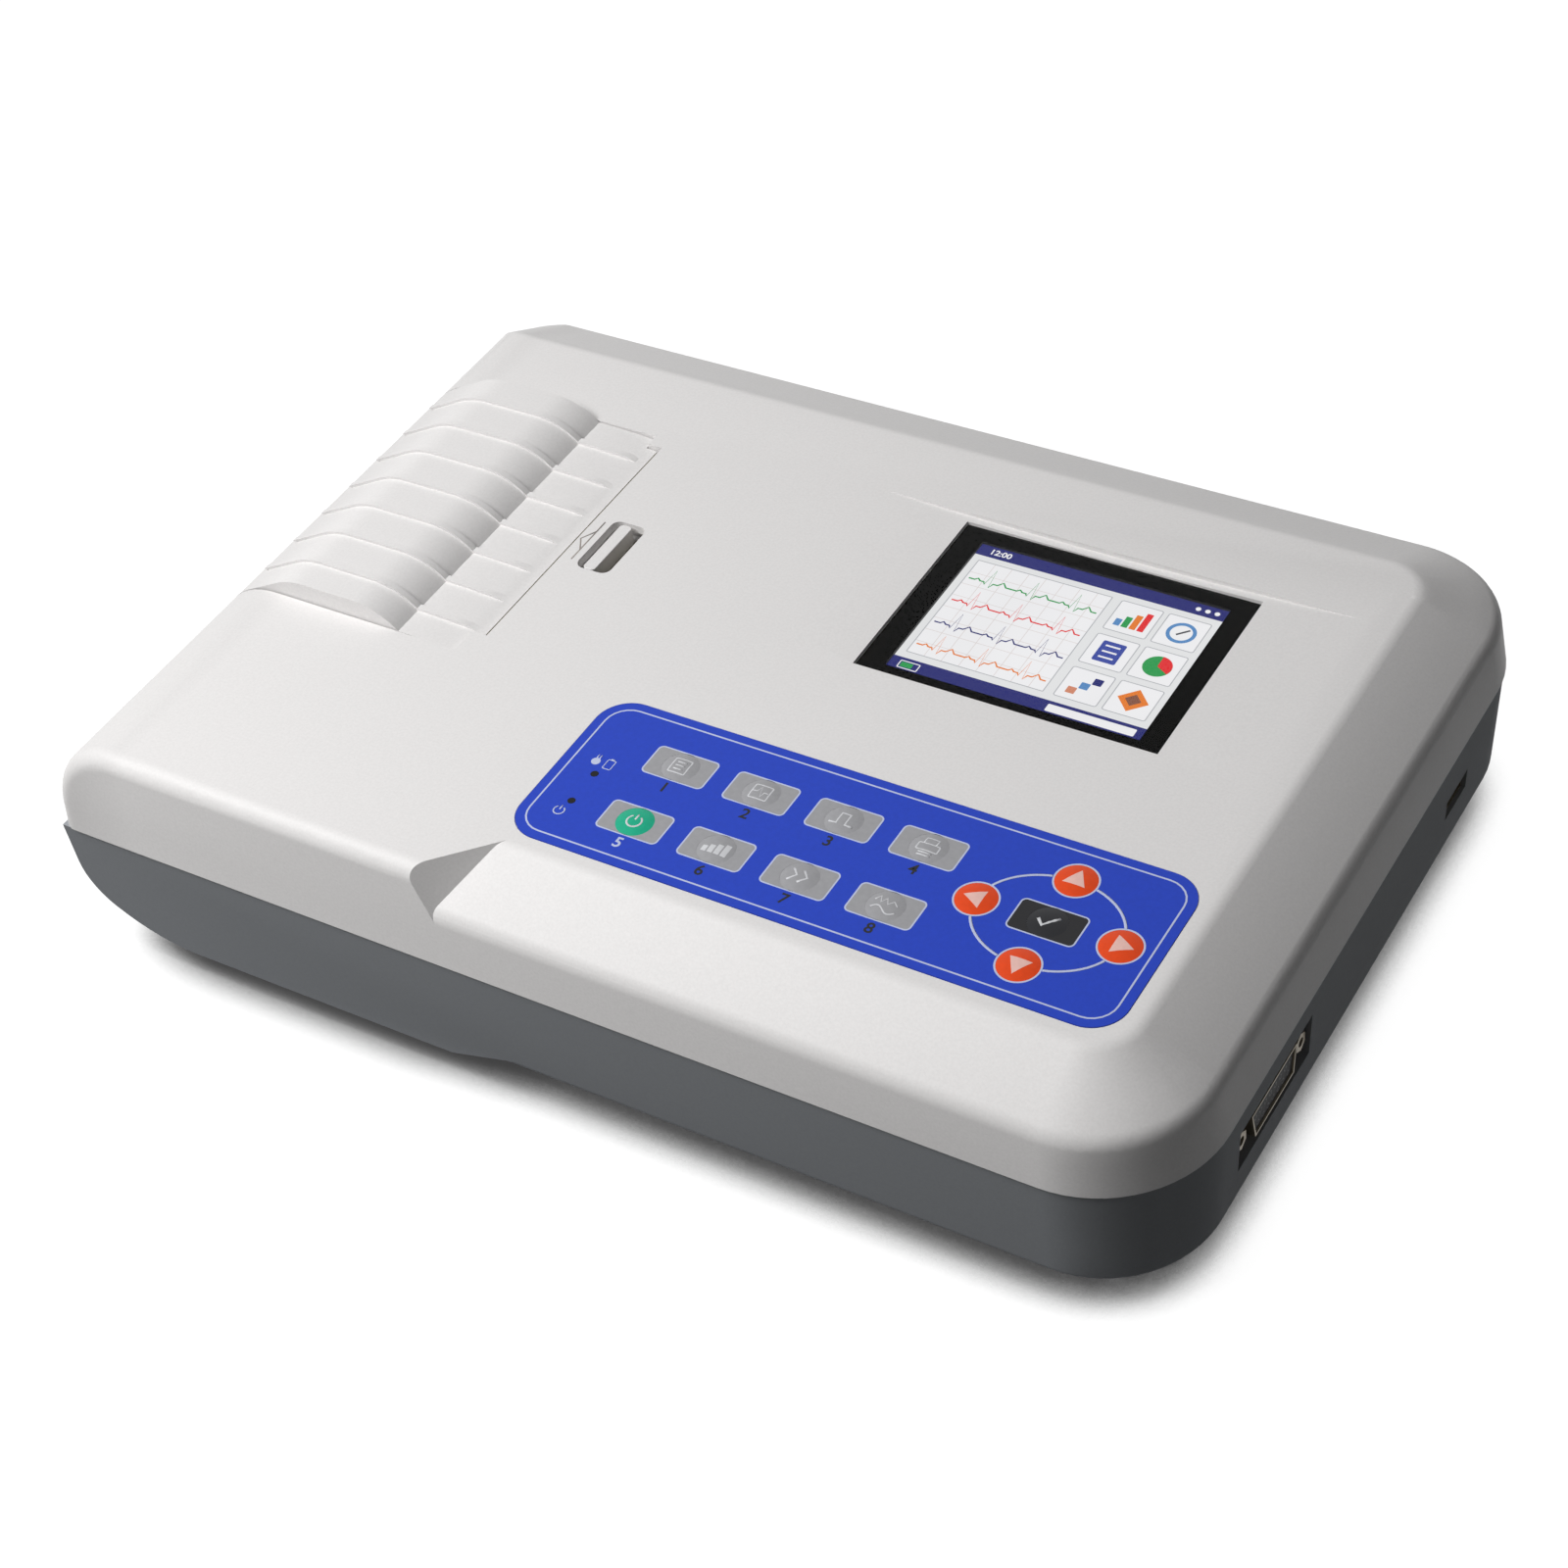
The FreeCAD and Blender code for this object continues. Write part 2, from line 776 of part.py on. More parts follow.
opening_low = hinge_z - d.hinge_radius - d.cover_gap
above = bump_top + PAST
cover_opening = box(left - PAST, cover_front - d.cover_gap, opening_low,
                    cover_right - d.cover_corner_step + d.cover_gap, cover_back + d.cover_gap, above)
slot_opening = box(left, cover_front + d.cover_front_corner - d.cover_gap, opening_low,
                   cover_right + d.paper_slot, cover_back - d.cover_back_corner + d.cover_gap, above)
scoop_radius = (d.scoop_width * d.scoop_width / 4 + d.scoop_depth * d.scoop_depth) / (2 * d.scoop_depth)
scoop_y0 = display_y0 - d.scoop_margin_front
scoop_y1 = display_y1 + d.scoop_margin_back
scoop_axis = plateau - d.scoop_depth + scoop_radius
scoop = rod("Y", display_x, scoop_y0, scoop_axis, scoop_radius, scoop_y1 - scoop_y0)
display_opening = box(display_x0 - d.display_gap, display_y0 - d.display_gap, ceiling - PAST,
                      display_x1 + d.display_gap, display_y1 + d.display_gap, plateau + PAST)
bed_plan = overlay_plan(d.overlay_gap)
overlay_bed_cut = prism("overlay_bed", "XY", bed_plan, overlay_bed, d.overlay_recess + PAST)
latch_plan = rounded(latch_x0, latch_y0, latch_x1, latch_y1, d.latch_corner)
latch_opening = prism("latch_opening", "XY", latch_plan, ceiling - PAST, d.wall + 2 * PAST)
pin_bore = rod("Y", hinge_x, pin_start, hinge_z, d.hinge_pin_radius + d.running_clearance, pin_length)
screw_pilots = [rod("Z", x, y, parting - PAST, d.screw_radius + d.screw_clearance, d.screw_bite + 2 * PAST)
                for x, y in SCREWS]

screw_bosses = [rod("Z", x, y, parting, d.boss_radius, d.top_height) for x, y in SCREWS]
lug_reach = d.hinge_pin_bite + d.wall
lugs = [box(left, y, opening_low, hinge_x + d.hinge_radius, y + lug_reach, hinge_z + d.hinge_radius)
        for y in (cover_front - d.cover_gap - lug_reach, cover_back + d.cover_gap)]
post_columns = (overlay_x0 + d.post_radius + d.board_margin, pad_x - d.key_pitch,
                overlay_x1 - d.post_radius - d.board_margin)
post_rows = (overlay_y0 + d.post_radius + d.board_margin, overlay_y1 - d.post_radius - d.board_margin)
keypad_posts = [rod("Z", x, y, keypad_board_z, d.post_radius, inside_wall - keypad_board_z)
                for x in post_columns for y in post_rows]
rail_front = d.latch_middle - plate_half - d.contact_gap
rail_back = d.latch_middle + plate_half + d.contact_gap
lip_reach = d.contact_gap + d.rail_lip
rails = [
    box(plate_x0, rail_front - d.rail_wall, rail_low, plate_end, rail_front, inside_wall),
    box(plate_x0, rail_front - d.rail_wall, rail_low, plate_end, rail_front + lip_reach, lip_top),
    box(plate_x0, rail_back, rail_low, plate_end, rail_back + d.rail_wall, inside_wall),
    box(plate_x0, rail_back - lip_reach, rail_low, plate_end, rail_back + d.rail_wall, lip_top),
]
half_leaf = d.latch_leaf_width / 2
leaf_stop = box(stop_x, d.latch_middle - half_leaf, rail_low,
                stop_end, d.latch_middle + half_leaf, inside_wall)
inside_top = common(fuse(*screw_bosses, *lugs), top_outside)
node("top_housing", cut(
    fuse(top_shell, inside_top, *keypad_posts, *rails, leaf_stop),
    cover_opening, slot_opening, scoop, display_opening, overlay_bed_cut, latch_opening, pin_bore,
    *key_holes(ceiling - PAST, plateau + PAST), *screw_pilots))


# Base housing: a drafted tub with cut-outs for the sockets, a flat rear panel, bosses and foot pads

socket_y = front + d.socket_from_front
socket_z = parting - d.socket_drop
socket_x = right - d.reveal - d.base_draft / 2 - d.socket_shell_depth
socket_back = socket_x - d.socket_flange_thickness
flange_half = d.socket_screw_spacing / 2 + d.socket_flange_end
well_half_y = flange_half + d.socket_well_gap
well_half_z = d.socket_flange_height / 2 + d.socket_well_gap
usb_y = back - d.usb_from_back
usb_z = parting - d.usb_drop
usb_x1 = right - d.reveal - d.base_draft
usb_x0 = usb_x1 - d.usb_depth
panel_y = back - d.rear_panel_setback
panel_z = usb_z
inlet_x = right - d.inlet_right
rocker_x = inlet_x - d.rocker_spacing
rocker_half_x = d.rocker_width / 2 + d.rocker_gap
rocker_half_z = d.rocker_height / 2 + 3 * d.rocker_gap
battery_x1 = right - d.battery_right
battery_x0 = battery_x1 - d.battery_length
battery_y1 = back - d.battery_from_back
battery_y0 = battery_y1 - d.battery_width
door_top = floor + d.wall / 2
board_top = socket_z - d.socket_flange_height / 2 + d.socket_flange_thickness
board_x1 = socket_back - d.socket_well_gap
board_x0 = board_x1 - d.main_board_length
board_y0 = front + d.screw_corner_inset + d.boss_radius + d.board_edge_gap
board_y1 = battery_y0 - d.board_battery_gap
usb_board_top = usb_z - d.usb_height / 2
usb_board_x1 = usb_x1 - d.wall
usb_board_x0 = usb_board_x1 - d.usb_board_length
usb_board_y0 = usb_y - d.usb_board_width / 2
usb_board_y1 = usb_y + d.usb_board_width / 2
supply_z = floor + d.wall + d.supply_rise
supply_x0 = inlet_x - d.supply_length / 2
supply_x1 = inlet_x + d.supply_length / 2
supply_y1 = panel_y - d.inlet_depth - d.board_edge_gap
supply_y0 = supply_y1 - d.supply_width
frame_x0 = left + d.frame_start
frame_x1 = frame_x0 + d.frame_depth
frame_z = parting - d.frame_floor
frame_y0 = cover_front - d.cover_gap - d.frame_side_gap - d.frame_sheet
frame_y1 = cover_back + d.cover_gap + d.frame_side_gap + d.frame_sheet
seat_z = belly + d.screw_seat_height

foot_rows = (front + d.foot_side_inset, back - d.foot_side_inset)
left_feet = [(left + d.left_foot_inset, y) for y in foot_rows]
right_feet = [(right - d.right_foot_inset, y) for y in foot_rows]
foot_pads = [rod("Z", x, y, belly, d.foot_pad_radius, floor - belly + d.wall / 2) for x, y in right_feet]
foot_recesses = [rod("Z", x, y, belly - PAST, d.foot_radius + d.running_clearance, d.foot_recess + PAST)
                 for x, y in left_feet + right_feet]


def posts(x0, y0, x1, y1, top):
    """Round posts from the base's floor up under the four corners of a board or frame."""
    return [rod("Z", x, y, belly, d.post_radius, top - belly)
            for x in (x0 + d.post_radius, x1 - d.post_radius)
            for y in (y0 + d.post_radius, y1 - d.post_radius)]


board_low = board_top - d.board_thickness
usb_board_low = usb_board_top - d.board_thickness
board_posts = (posts(board_x0, board_y0, board_x1, board_y1, board_low)
               + posts(supply_x0, supply_y0, supply_x1, supply_y1, supply_z)
               + posts(usb_board_x0, usb_board_y0, usb_board_x1, usb_board_y1, usb_board_low)
               + posts(frame_x0, frame_y0, frame_x1, frame_y1, frame_z))
base_bosses = [rod("Z", x, y, belly, d.boss_radius, parting - belly) for x, y in SCREWS]
screw_holes = [rod("Z", x, y, belly - PAST, d.screw_radius + d.screw_clearance, parting - belly + 2 * PAST)
               for x, y in SCREWS]
head_wells = [rod("Z", x, y, belly - PAST, d.screw_head_radius + d.screw_head_clearance,
                  d.screw_seat_height + PAST) for x, y in SCREWS]
well_wall = d.socket_well_wall
socket_well = box(socket_back, socket_y - well_half_y - well_wall, socket_z - well_half_z - well_wall,
                  right, socket_y + well_half_y + well_wall, socket_z + well_half_z + well_wall)
socket_opening = box(socket_back - PAST, socket_y - well_half_y, socket_z - well_half_z,
                     right + PAST, socket_y + well_half_y, socket_z + well_half_z)
usb_half = d.usb_width / 2
usb_high = d.usb_height / 2
usb_opening = box(usb_x0, usb_y - usb_half - d.panel_gap, usb_z - usb_high - d.panel_gap,
                  right + PAST, usb_y + usb_half + d.panel_gap, usb_z + usb_high + d.panel_gap)
rear_panel = box(rocker_x - d.rocker_width - d.board_edge_gap, panel_y, panel_z - d.rear_panel_height / 2,
                 inlet_x + d.inlet_width, back + PAST, panel_z + d.rear_panel_height / 2)


def panel_hole(x, half_x, half_z):
    """A rectangular hole through the rear panel, a panel gap larger than what fits in it."""
    return box(x - half_x - d.panel_gap, panel_y - 2 * PAST, panel_z - half_z - d.panel_gap,
               x + half_x + d.panel_gap, back + PAST, panel_z + half_z + d.panel_gap)


def battery_box(margin, low, high):
    """A block as large as the battery's plan and a margin."""
    return box(battery_x0 - margin, battery_y0 - margin, low,
               battery_x1 + margin, battery_y1 + margin, high)


battery_opening = battery_box(d.battery_door_gap, floor - PAST, floor + d.wall + NEAR)
door_rebate = battery_box(d.battery_door_margin + d.battery_door_gap, floor - PAST, door_top)
inside_base = common(fuse(*base_bosses, *board_posts, socket_well), base_outside)
node("base_housing", cut(
    fuse(base_shell, inside_base, *foot_pads),
    *foot_recesses, *screw_holes, *head_wells, socket_opening, usb_opening, rear_panel,
    panel_hole(inlet_x, d.inlet_width / 2, d.inlet_height / 2),
    panel_hole(rocker_x, rocker_half_x + d.rocker_wall / 2, rocker_half_z + d.rocker_wall / 2),
    battery_opening, door_rebate))
node("battery_door", battery_box(d.battery_door_margin, floor, door_top))
node("battery_pack", battery_box(0.0, door_top, door_top + d.battery_height))


def foot(x, y):
    """A tapered rubber foot that stands on the table and sits in its recess."""
    cone = doc.addObject("Part::Cone", "foot")
    bind(cone, "Radius1", d.foot_radius - d.foot_flare)
    bind(cone, "Radius2", d.foot_radius)
    bind(cone, "Height", belly + d.foot_recess)
    return place(cone, x, y, 0.0)


def case_screw(x, y):
    """A screw up through the base's boss into the top's boss."""
    low = seat_z - d.screw_head_height
    shank = rod("Z", x, y, low, d.screw_radius, parting + d.screw_bite - low)
    return fuse(shank, rod("Z", x, y, low, d.screw_head_radius, d.screw_head_height))


node("rubber_feet", group([foot(x, y) for x, y in left_feet + right_feet]))
node("case_screws", group([case_screw(x, y) for x, y in SCREWS]))


# Paper cover: a ribbed lid over the roll, hinged low on the left, which carries the platen

platen_x = left + d.platen_inset
platen_z = parting + d.platen_rise
ear_front = d.cover_middle - d.paper_width / 2 - d.ear_gap - d.ear_wall
ear_back = d.cover_middle + d.paper_width / 2 + d.ear_gap
cover_spring = plateau - d.left_round
bump_drop = bump_top - cover_flat
bump_radius = (bump_drop * bump_drop + d.bump_slope * d.bump_slope) / (2 * bump_drop)
bump_centre = left + d.bump_end
bump_valley = bump_centre + d.bump_slope
fall_run = cover_right - bump_valley
fall_radius = (d.cover_fall * d.cover_fall + fall_run * fall_run) / (2 * d.cover_fall)
slot_edge = cover_flat - d.cover_fall
round_x = left + d.left_round
crown_sine = (d.left_round - d.crown_foot) / d.left_round
crown_cosine = (1 - crown_sine * crown_sine).root()
crown_z = bump_top - d.crown_round
crown_climb = crown_z + d.crown_round * crown_cosine - cover_spring - d.left_round * crown_cosine
crown_x = left + d.crown_foot + crown_climb * crown_cosine / crown_sine + d.crown_round * crown_sine


def cover_outline(depth, proud):
    """Section of the cover: round the left side, up to a crown, down to a valley and on to the slot."""
    outer = d.left_round + proud
    inner = d.left_round - depth
    crown_outer = d.crown_round + proud
    crown_inner = d.crown_round - depth
    high = bump_top + proud
    low = cover_flat + proud
    under = bump_top - depth
    below = cover_flat - depth
    return [
        (left - proud, hinge_z),
        (left - proud, cover_spring, round_x, cover_spring, -1),
        (round_x - outer * crown_sine, cover_spring + outer * crown_cosine),
        (crown_x - crown_outer * crown_sine, crown_z + crown_outer * crown_cosine, crown_x, crown_z, -1),
        (crown_x, high),
        (bump_centre, high, bump_centre, high - bump_radius, -1),
        (bump_valley, low, bump_valley, low - fall_radius, -1),
        (cover_right, slot_edge + proud),
        (cover_right, slot_edge - depth, bump_valley, below - fall_radius, 1),
        (bump_valley, below, bump_centre, under - bump_radius, 1),
        (bump_centre, under),
        (crown_x, under, crown_x, crown_z, 1),
        (crown_x - crown_inner * crown_sine, crown_z + crown_inner * crown_cosine),
        (round_x - inner * crown_sine, cover_spring + inner * crown_cosine, round_x, cover_spring, 1),
        (round_x - inner, cover_spring),
        (left + depth, hinge_z),
    ]


def platen_ear(y):
    """A hanging ear that holds one platen bush."""
    reach = d.ear_reach
    return prism("platen_ear", "XZ", [
        (platen_x + reach, slot_edge - d.cover_wall / 2),
        (platen_x - reach, slot_edge - d.cover_wall / 2),
        (platen_x - reach, platen_z, platen_x, platen_z, 1),
        (platen_x + reach, platen_z),
    ], y, d.ear_wall)


cover_skin = prism("cover_skin", "XZ", cover_outline(d.cover_wall, 0.0), cover_front, d.cover_width)
cover_ends = [prism("cover_end", "XZ", cover_outline(d.cover_end_depth, 0.0), y, d.cover_wall)
              for y in (cover_front, cover_back - d.cover_wall)]
first_rib = d.cover_middle - d.rib_pitch * (d.rib_count - 1) / 2 - d.rib_width / 2
rib_outline = cover_outline(d.cover_wall / 2, d.rib_height)
cover_ribs = [prism("cover_rib", "XZ", rib_outline, first_rib + i * d.rib_pitch, d.rib_width)
              for i in range(int(d.rib_count.number))]
rib_low = cover_spring + d.rib_start
rib_end = cover_right - d.rib_end_gap
rib_zone = prism("rib_zone", "XZ", [
    (left, rib_low),
    (rib_end, rib_low),
    (rib_end, slot_edge),
    (rib_end - d.rib_taper, slot_edge + 3 * d.rib_height),
    (rib_end - d.rib_taper, bump_top + PAST),
    (left, bump_top + PAST),
], cover_front, d.cover_width)
barrel = rod("Y", hinge_x, cover_front, hinge_z, d.hinge_radius, d.cover_width)
cover_corners = [box(cover_right - d.cover_corner_step, y0, slot_edge - d.cover_end_depth - PAST,
                     cover_right + PAST, y1, bump_top + PAST)
                 for y0, y1 in ((cover_front, cover_front + d.cover_front_corner),
                                (cover_back - d.cover_back_corner, cover_back))]
bush_bores = rod("Y", platen_x, cover_front, platen_z, d.bush_radius + d.running_clearance, d.cover_width)
hinge_bore = rod("Y", hinge_x, cover_front - PAST, hinge_z, d.hinge_pin_radius + d.running_clearance,
                 d.cover_width + 2 * PAST)
node("paper_cover", cut(
    fuse(cover_skin, *cover_ends, common(fuse(*cover_ribs), rib_zone), barrel,
         platen_ear(ear_front), platen_ear(ear_back)),
    *cover_corners, bush_bores, hinge_bore))
node("cover_hinge_pin", rod("Y", hinge_x, pin_start, hinge_z, d.hinge_pin_radius, pin_length))


# Platen: rubber sleeve on a steel shaft in two bushes, with its gear at the back

gear_y = ear_back + d.ear_wall + d.gear_gap
shaft_y = ear_front - d.gear_gap
shaft_bore = d.platen_shaft_radius + d.running_clearance


def tube(x, y, z, radius, bore, length):
    """A round sleeve along +Y."""
    return cut(rod("Y", x, y, z, radius, length), rod("Y", x, y, z, bore, length))


shaft_length = gear_y + d.gear_width - shaft_y
sleeve_y = d.cover_middle - d.paper_width / 2
node("platen_shaft", rod("Y", platen_x, shaft_y, platen_z, d.platen_shaft_radius, shaft_length))
node("platen_sleeve", tube(platen_x, sleeve_y, platen_z, d.platen_radius, shaft_bore, d.paper_width))
node("platen_bushes", group([tube(platen_x, y, platen_z, d.bush_radius, shaft_bore, d.ear_wall)
                             for y in (ear_front, ear_back)]))


# Gear train: platen gear, idler below it in line with the cover's swing, and the motor's pinion

TIP = 0.85
ROOT = 1.15
TOOTH_SHARE = 0.44
swing_x = platen_x - hinge_x
swing_z = platen_z - hinge_z
swing = (swing_x * swing_x + swing_z * swing_z).root()
idler_distance = d.gear_module * (d.platen_teeth + d.idler_teeth) / 2
pinion_distance = d.gear_module * (d.idler_teeth + d.pinion_teeth) / 2
idler_x = platen_x + idler_distance * swing_z / swing
idler_z = platen_z - idler_distance * swing_x / swing
pinion_x = idler_x + pinion_distance
pinion_z = idler_z
idler_way = math.atan2(-swing_x.number, swing_z.number)
platen_phase = idler_way


def mesh_phase(phase, teeth, way, mate_teeth):
    """Angle of a tooth of the mate that falls in a gap of a gear, along the line of centres."""
    shift = (phase - way) * teeth.number + math.pi
    return way + math.pi - shift / mate_teeth.number


idler_phase = mesh_phase(platen_phase, d.platen_teeth, idler_way, d.idler_teeth)
pinion_phase = mesh_phase(idler_phase, d.idler_teeth, 0.0, d.pinion_teeth)


def gear(name, teeth, phase, bore, x, z):
    """A spur gear across +Y with straight-sided teeth, from the module and the number of teeth."""
    module = d.gear_module.number
    pitch_radius = module * teeth.number / 2
    tip = pitch_radius + TIP * module
    root = pitch_radius - ROOT * module
    pitch_angle = 2 * math.pi / teeth.number
    outline = []
    for i in range(int(teeth.number)):
        middle = phase + i * pitch_angle
        for radius, share in ((root, -0.72), (tip, -0.24), (tip, 0.24), (root, 0.72)):
            angle = middle + share * TOOTH_SHARE * pitch_angle
            outline.append(Vector(radius * math.cos(angle), 0, radius * math.sin(angle)))
    outline.append(outline[0])
    blank = Part.Face(Part.makePolygon(outline)).extrude(Vector(0, d.gear_width.number, 0))
    wheel = doc.addObject("Part::Feature", name)
    wheel.Shape = blank.cut(Part.makeCylinder(bore.number, d.gear_width.number, Vector(), Vector(0, 1, 0)))
    return place(wheel, x, gear_y, z)


node("platen_gear", gear("platen_wheel", d.platen_teeth, platen_phase, shaft_bore, platen_x, platen_z))
node("idler_gear", gear("idler_wheel", d.idler_teeth, idler_phase, d.stub_radius + d.running_clearance,
                        idler_x, idler_z))
node("motor_pinion", gear("pinion_wheel", d.pinion_teeth, pinion_phase,
                          d.motor_shaft_radius + d.running_clearance, pinion_x, pinion_z))
motor_bore = d.motor_shaft_radius + d.running_clearance
motor_reach = frame_y1 + d.motor_shaft_bite - gear_y
node("motor_shaft", rod("Y", pinion_x, gear_y, pinion_z, d.motor_shaft_radius, motor_reach))
node("drive_motor", cut(
    rod("Y", pinion_x, frame_y1, pinion_z, d.motor_radius, d.motor_length),
    rod("Y", pinion_x, frame_y1, pinion_z, motor_bore, d.motor_shaft_bite + d.contact_gap)))


# Printer frame, print head, its heat sink on two guides and the leaf spring behind it

head_x = platen_x + d.platen_radius + d.contact_gap
head_back = head_x + d.head_thickness
sink_back = head_back + d.heatsink_thickness
head_z = platen_z - d.head_drop
frame_wall = frame_x1 - d.frame_sheet
guide_z = head_z + d.head_height / 2
guide_y = (d.cover_middle - d.guide_spacing / 2, d.cover_middle + d.guide_spacing / 2)
guide_end = frame_x1 + d.guide_overhang - sink_back
guide_bore = d.guide_radius + d.running_clearance
guide_holes = [rod("X", frame_wall - PAST, y, guide_z, guide_bore, d.frame_sheet + 2 * PAST)
               for y in guide_y]
frame_block = box(frame_x0, frame_y0, frame_z, frame_x1, frame_y1, frame_z + d.frame_height)
frame_space = box(frame_x0 - PAST, frame_y0 + d.frame_sheet, frame_z + d.frame_sheet, frame_wall,
                  frame_y1 - d.frame_sheet, frame_z + d.frame_height + PAST)
shaft_hole = rod("Y", pinion_x, frame_y1 - d.frame_sheet - PAST, pinion_z, motor_bore + d.contact_gap,
                 d.frame_sheet + 2 * PAST)
stub = rod("Y", idler_x, gear_y - d.gear_gap / 2, idler_z, d.stub_radius, frame_y1 - gear_y)
node("printer_frame", fuse(cut(frame_block, frame_space, shaft_hole, *guide_holes), stub))
head_y0 = d.cover_middle - d.head_width / 2
head_y1 = d.cover_middle + d.head_width / 2
node("print_head", box(head_x, head_y0, head_z, head_back, head_y1, head_z + d.head_height))
node("head_heatsink", fuse(
    box(head_back, head_y0, head_z, sink_back, head_y1, head_z + d.head_height),
    *[rod("X", sink_back, y, guide_z, d.guide_radius, guide_end) for y in guide_y]))
leaf_x0 = sink_back + d.head_travel + d.contact_gap
leaf_end = d.leaf_span / 2
leaf_knee = d.leaf_span / 3
leaf_nose = d.leaf_span / 8
leaf_y = d.cover_middle
leaf_z = guide_z - d.leaf_height / 2
leaf = d.leaf_thickness
node("head_leaf_spring", prism("head_leaf", "XY", [
    (frame_wall, leaf_y - leaf_end),
    (frame_wall, leaf_y - leaf_knee),
    (leaf_x0 + leaf, leaf_y - leaf_nose),
    (leaf_x0 + leaf, leaf_y + leaf_nose),
    (frame_wall, leaf_y + leaf_knee),
    (frame_wall, leaf_y + leaf_end),
    (frame_wall - leaf, leaf_y + leaf_end),
    (frame_wall - leaf, leaf_y + leaf_knee),
    (leaf_x0, leaf_y + leaf_nose),
    (leaf_x0, leaf_y - leaf_nose),
    (frame_wall - leaf, leaf_y - leaf_knee),
    (frame_wall - leaf, leaf_y - leaf_end),
], leaf_z, d.leaf_height))


# Paper roll on its spindle in a trough with two notched cheeks

roll_x = left + d.roll_inset
roll_z = parting - d.roll_drop
roll_y0 = d.cover_middle - d.paper_width / 2
roll_y1 = d.cover_middle + d.paper_width / 2
trough = d.roll_radius + d.roll_clearance
trough_out = trough + d.tray_wall
cheek_y0 = roll_y0 - d.cheek_gap - d.cheek_wall
cheek_y1 = roll_y1 + d.cheek_gap
spindle_radius = d.roll_bore - d.running_clearance
tray_width = d.paper_width + 2 * d.cheek_gap
node("paper_roll", tube(roll_x, roll_y0, roll_z, d.roll_radius, d.roll_bore, d.paper_width))
node("paper_spindle", fuse(
    rod("Y", roll_x, roll_y0, roll_z, spindle_radius, d.paper_width),
    rod("Y", roll_x, cheek_y0, roll_z, d.spindle_neck, tray_width + 2 * d.cheek_wall)))


def cheek(y):
    """One end of the tray, with an open notch for the spindle's neck."""
    notch = d.spindle_neck + d.running_clearance
    high = roll_z + d.cheek_rise
    return prism("tray_cheek", "XZ", [
        (roll_x - trough_out, high),
        (roll_x - trough_out, roll_z, roll_x, roll_z, 1),
        (roll_x + trough_out, roll_z),
        (roll_x + trough_out, high),
        (roll_x + notch, high),
        (roll_x + notch, roll_z, roll_x, roll_z, -1),
        (roll_x - notch, roll_z),
        (roll_x - notch, high),
    ], y, d.cheek_wall)


trough_skin = prism("tray_trough", "XZ", [
    (roll_x - trough_out, roll_z, roll_x, roll_z, 1),
    (roll_x + trough_out, roll_z),
    (roll_x + trough, roll_z, roll_x, roll_z, -1),
    (roll_x - trough, roll_z),
], cheek_y0, tray_width + 2 * d.cheek_wall)
leg_low = belly + d.wall
leg_y0 = cheek_y0 + d.cheek_wall
leg_y1 = cheek_y1
legs = [box(x, leg_y0, leg_low, x + d.tray_leg, leg_y1, roll_z - d.roll_radius / 2)
        for x in (roll_x + d.tray_leg / 2, roll_x + d.tray_leg_spacing - d.tray_leg)]
trough_space = rod("Y", roll_x, cheek_y0 + d.cheek_wall, roll_z, trough, tray_width)
node("paper_tray", fuse(trough_skin, cheek(cheek_y0), cheek(cheek_y1), cut(fuse(*legs), trough_space)))


# Cover latch: a sliding plate with a finger ridge, returned by a bent leaf in the plate's window

ridge_x0 = latch_x0 + d.latch_travel + d.contact_gap
ridge_y0 = latch_y0 + 2 * d.contact_gap
ridge_y1 = latch_y1 - 2 * d.contact_gap
ridge_plan = rounded(ridge_x0, ridge_y0, ridge_x0 + d.ridge_width, ridge_y1, d.ridge_width / 3)
window_half = half_leaf + 2 * d.contact_gap
latch_sheet = box(plate_x0, d.latch_middle - plate_half, plate_low,
                  plate_end, d.latch_middle + plate_half, plate_top)
latch_window = box(plate_x1, d.latch_middle - window_half, plate_low - PAST,
                   window_x1, d.latch_middle + window_half, plate_top + PAST)
latch_ridge = prism("latch_ridge", "XY", ridge_plan, plate_top, d.latch_depth - d.ridge_sink)
node("cover_latch", fuse(cut(latch_sheet, latch_window), latch_ridge))
leaf_tip = window_x1 - d.contact_gap
node("latch_spring", prism("latch_leaf", "XY", [
    (stop_end, d.latch_middle + half_leaf),
    (stop_end, d.latch_middle + half_leaf - 2 * leaf),
    (leaf_tip - leaf, d.latch_middle),
    (stop_end, d.latch_middle - half_leaf + 2 * leaf),
    (stop_end, d.latch_middle - half_leaf),
    (leaf_tip, d.latch_middle - leaf),
    (leaf_tip, d.latch_middle + leaf),
], plate_low, d.latch_plate))


# Display: clear window in the scoop, black mask, colour panel

lens_top = plateau - d.scoop_depth - d.window_drop
mask_low = ceiling - d.mask_thickness


def display_block(width, height, low, high):
    """A block centred on the display."""
    return box(display_x - width / 2, display_y - height / 2, low,
               display_x + width / 2, display_y + height / 2, high)


node("display_window", display_block(d.display_width, d.display_height, ceiling, lens_top))
mask_width = d.display_width + 2 * d.mask_overlap
mask_height = d.display_height + 2 * d.mask_overlap
node("display_mask", cut(
    display_block(mask_width, mask_height, mask_low, ceiling),
    display_block(d.picture_width, d.picture_height, mask_low - PAST, ceiling + PAST)))
node("display_panel", display_block(d.panel_width, d.panel_height, mask_low - d.panel_thickness, mask_low))


# Keypad: printed film, thirteen domed keys, their switches and lamps on a board

overlay_sheet = prism("overlay_sheet", "XY", overlay_plan(0.0), overlay_bed, d.overlay_thickness)
node("keypad_overlay", cut(overlay_sheet, *key_holes(overlay_bed - PAST, overlay_top + PAST)))


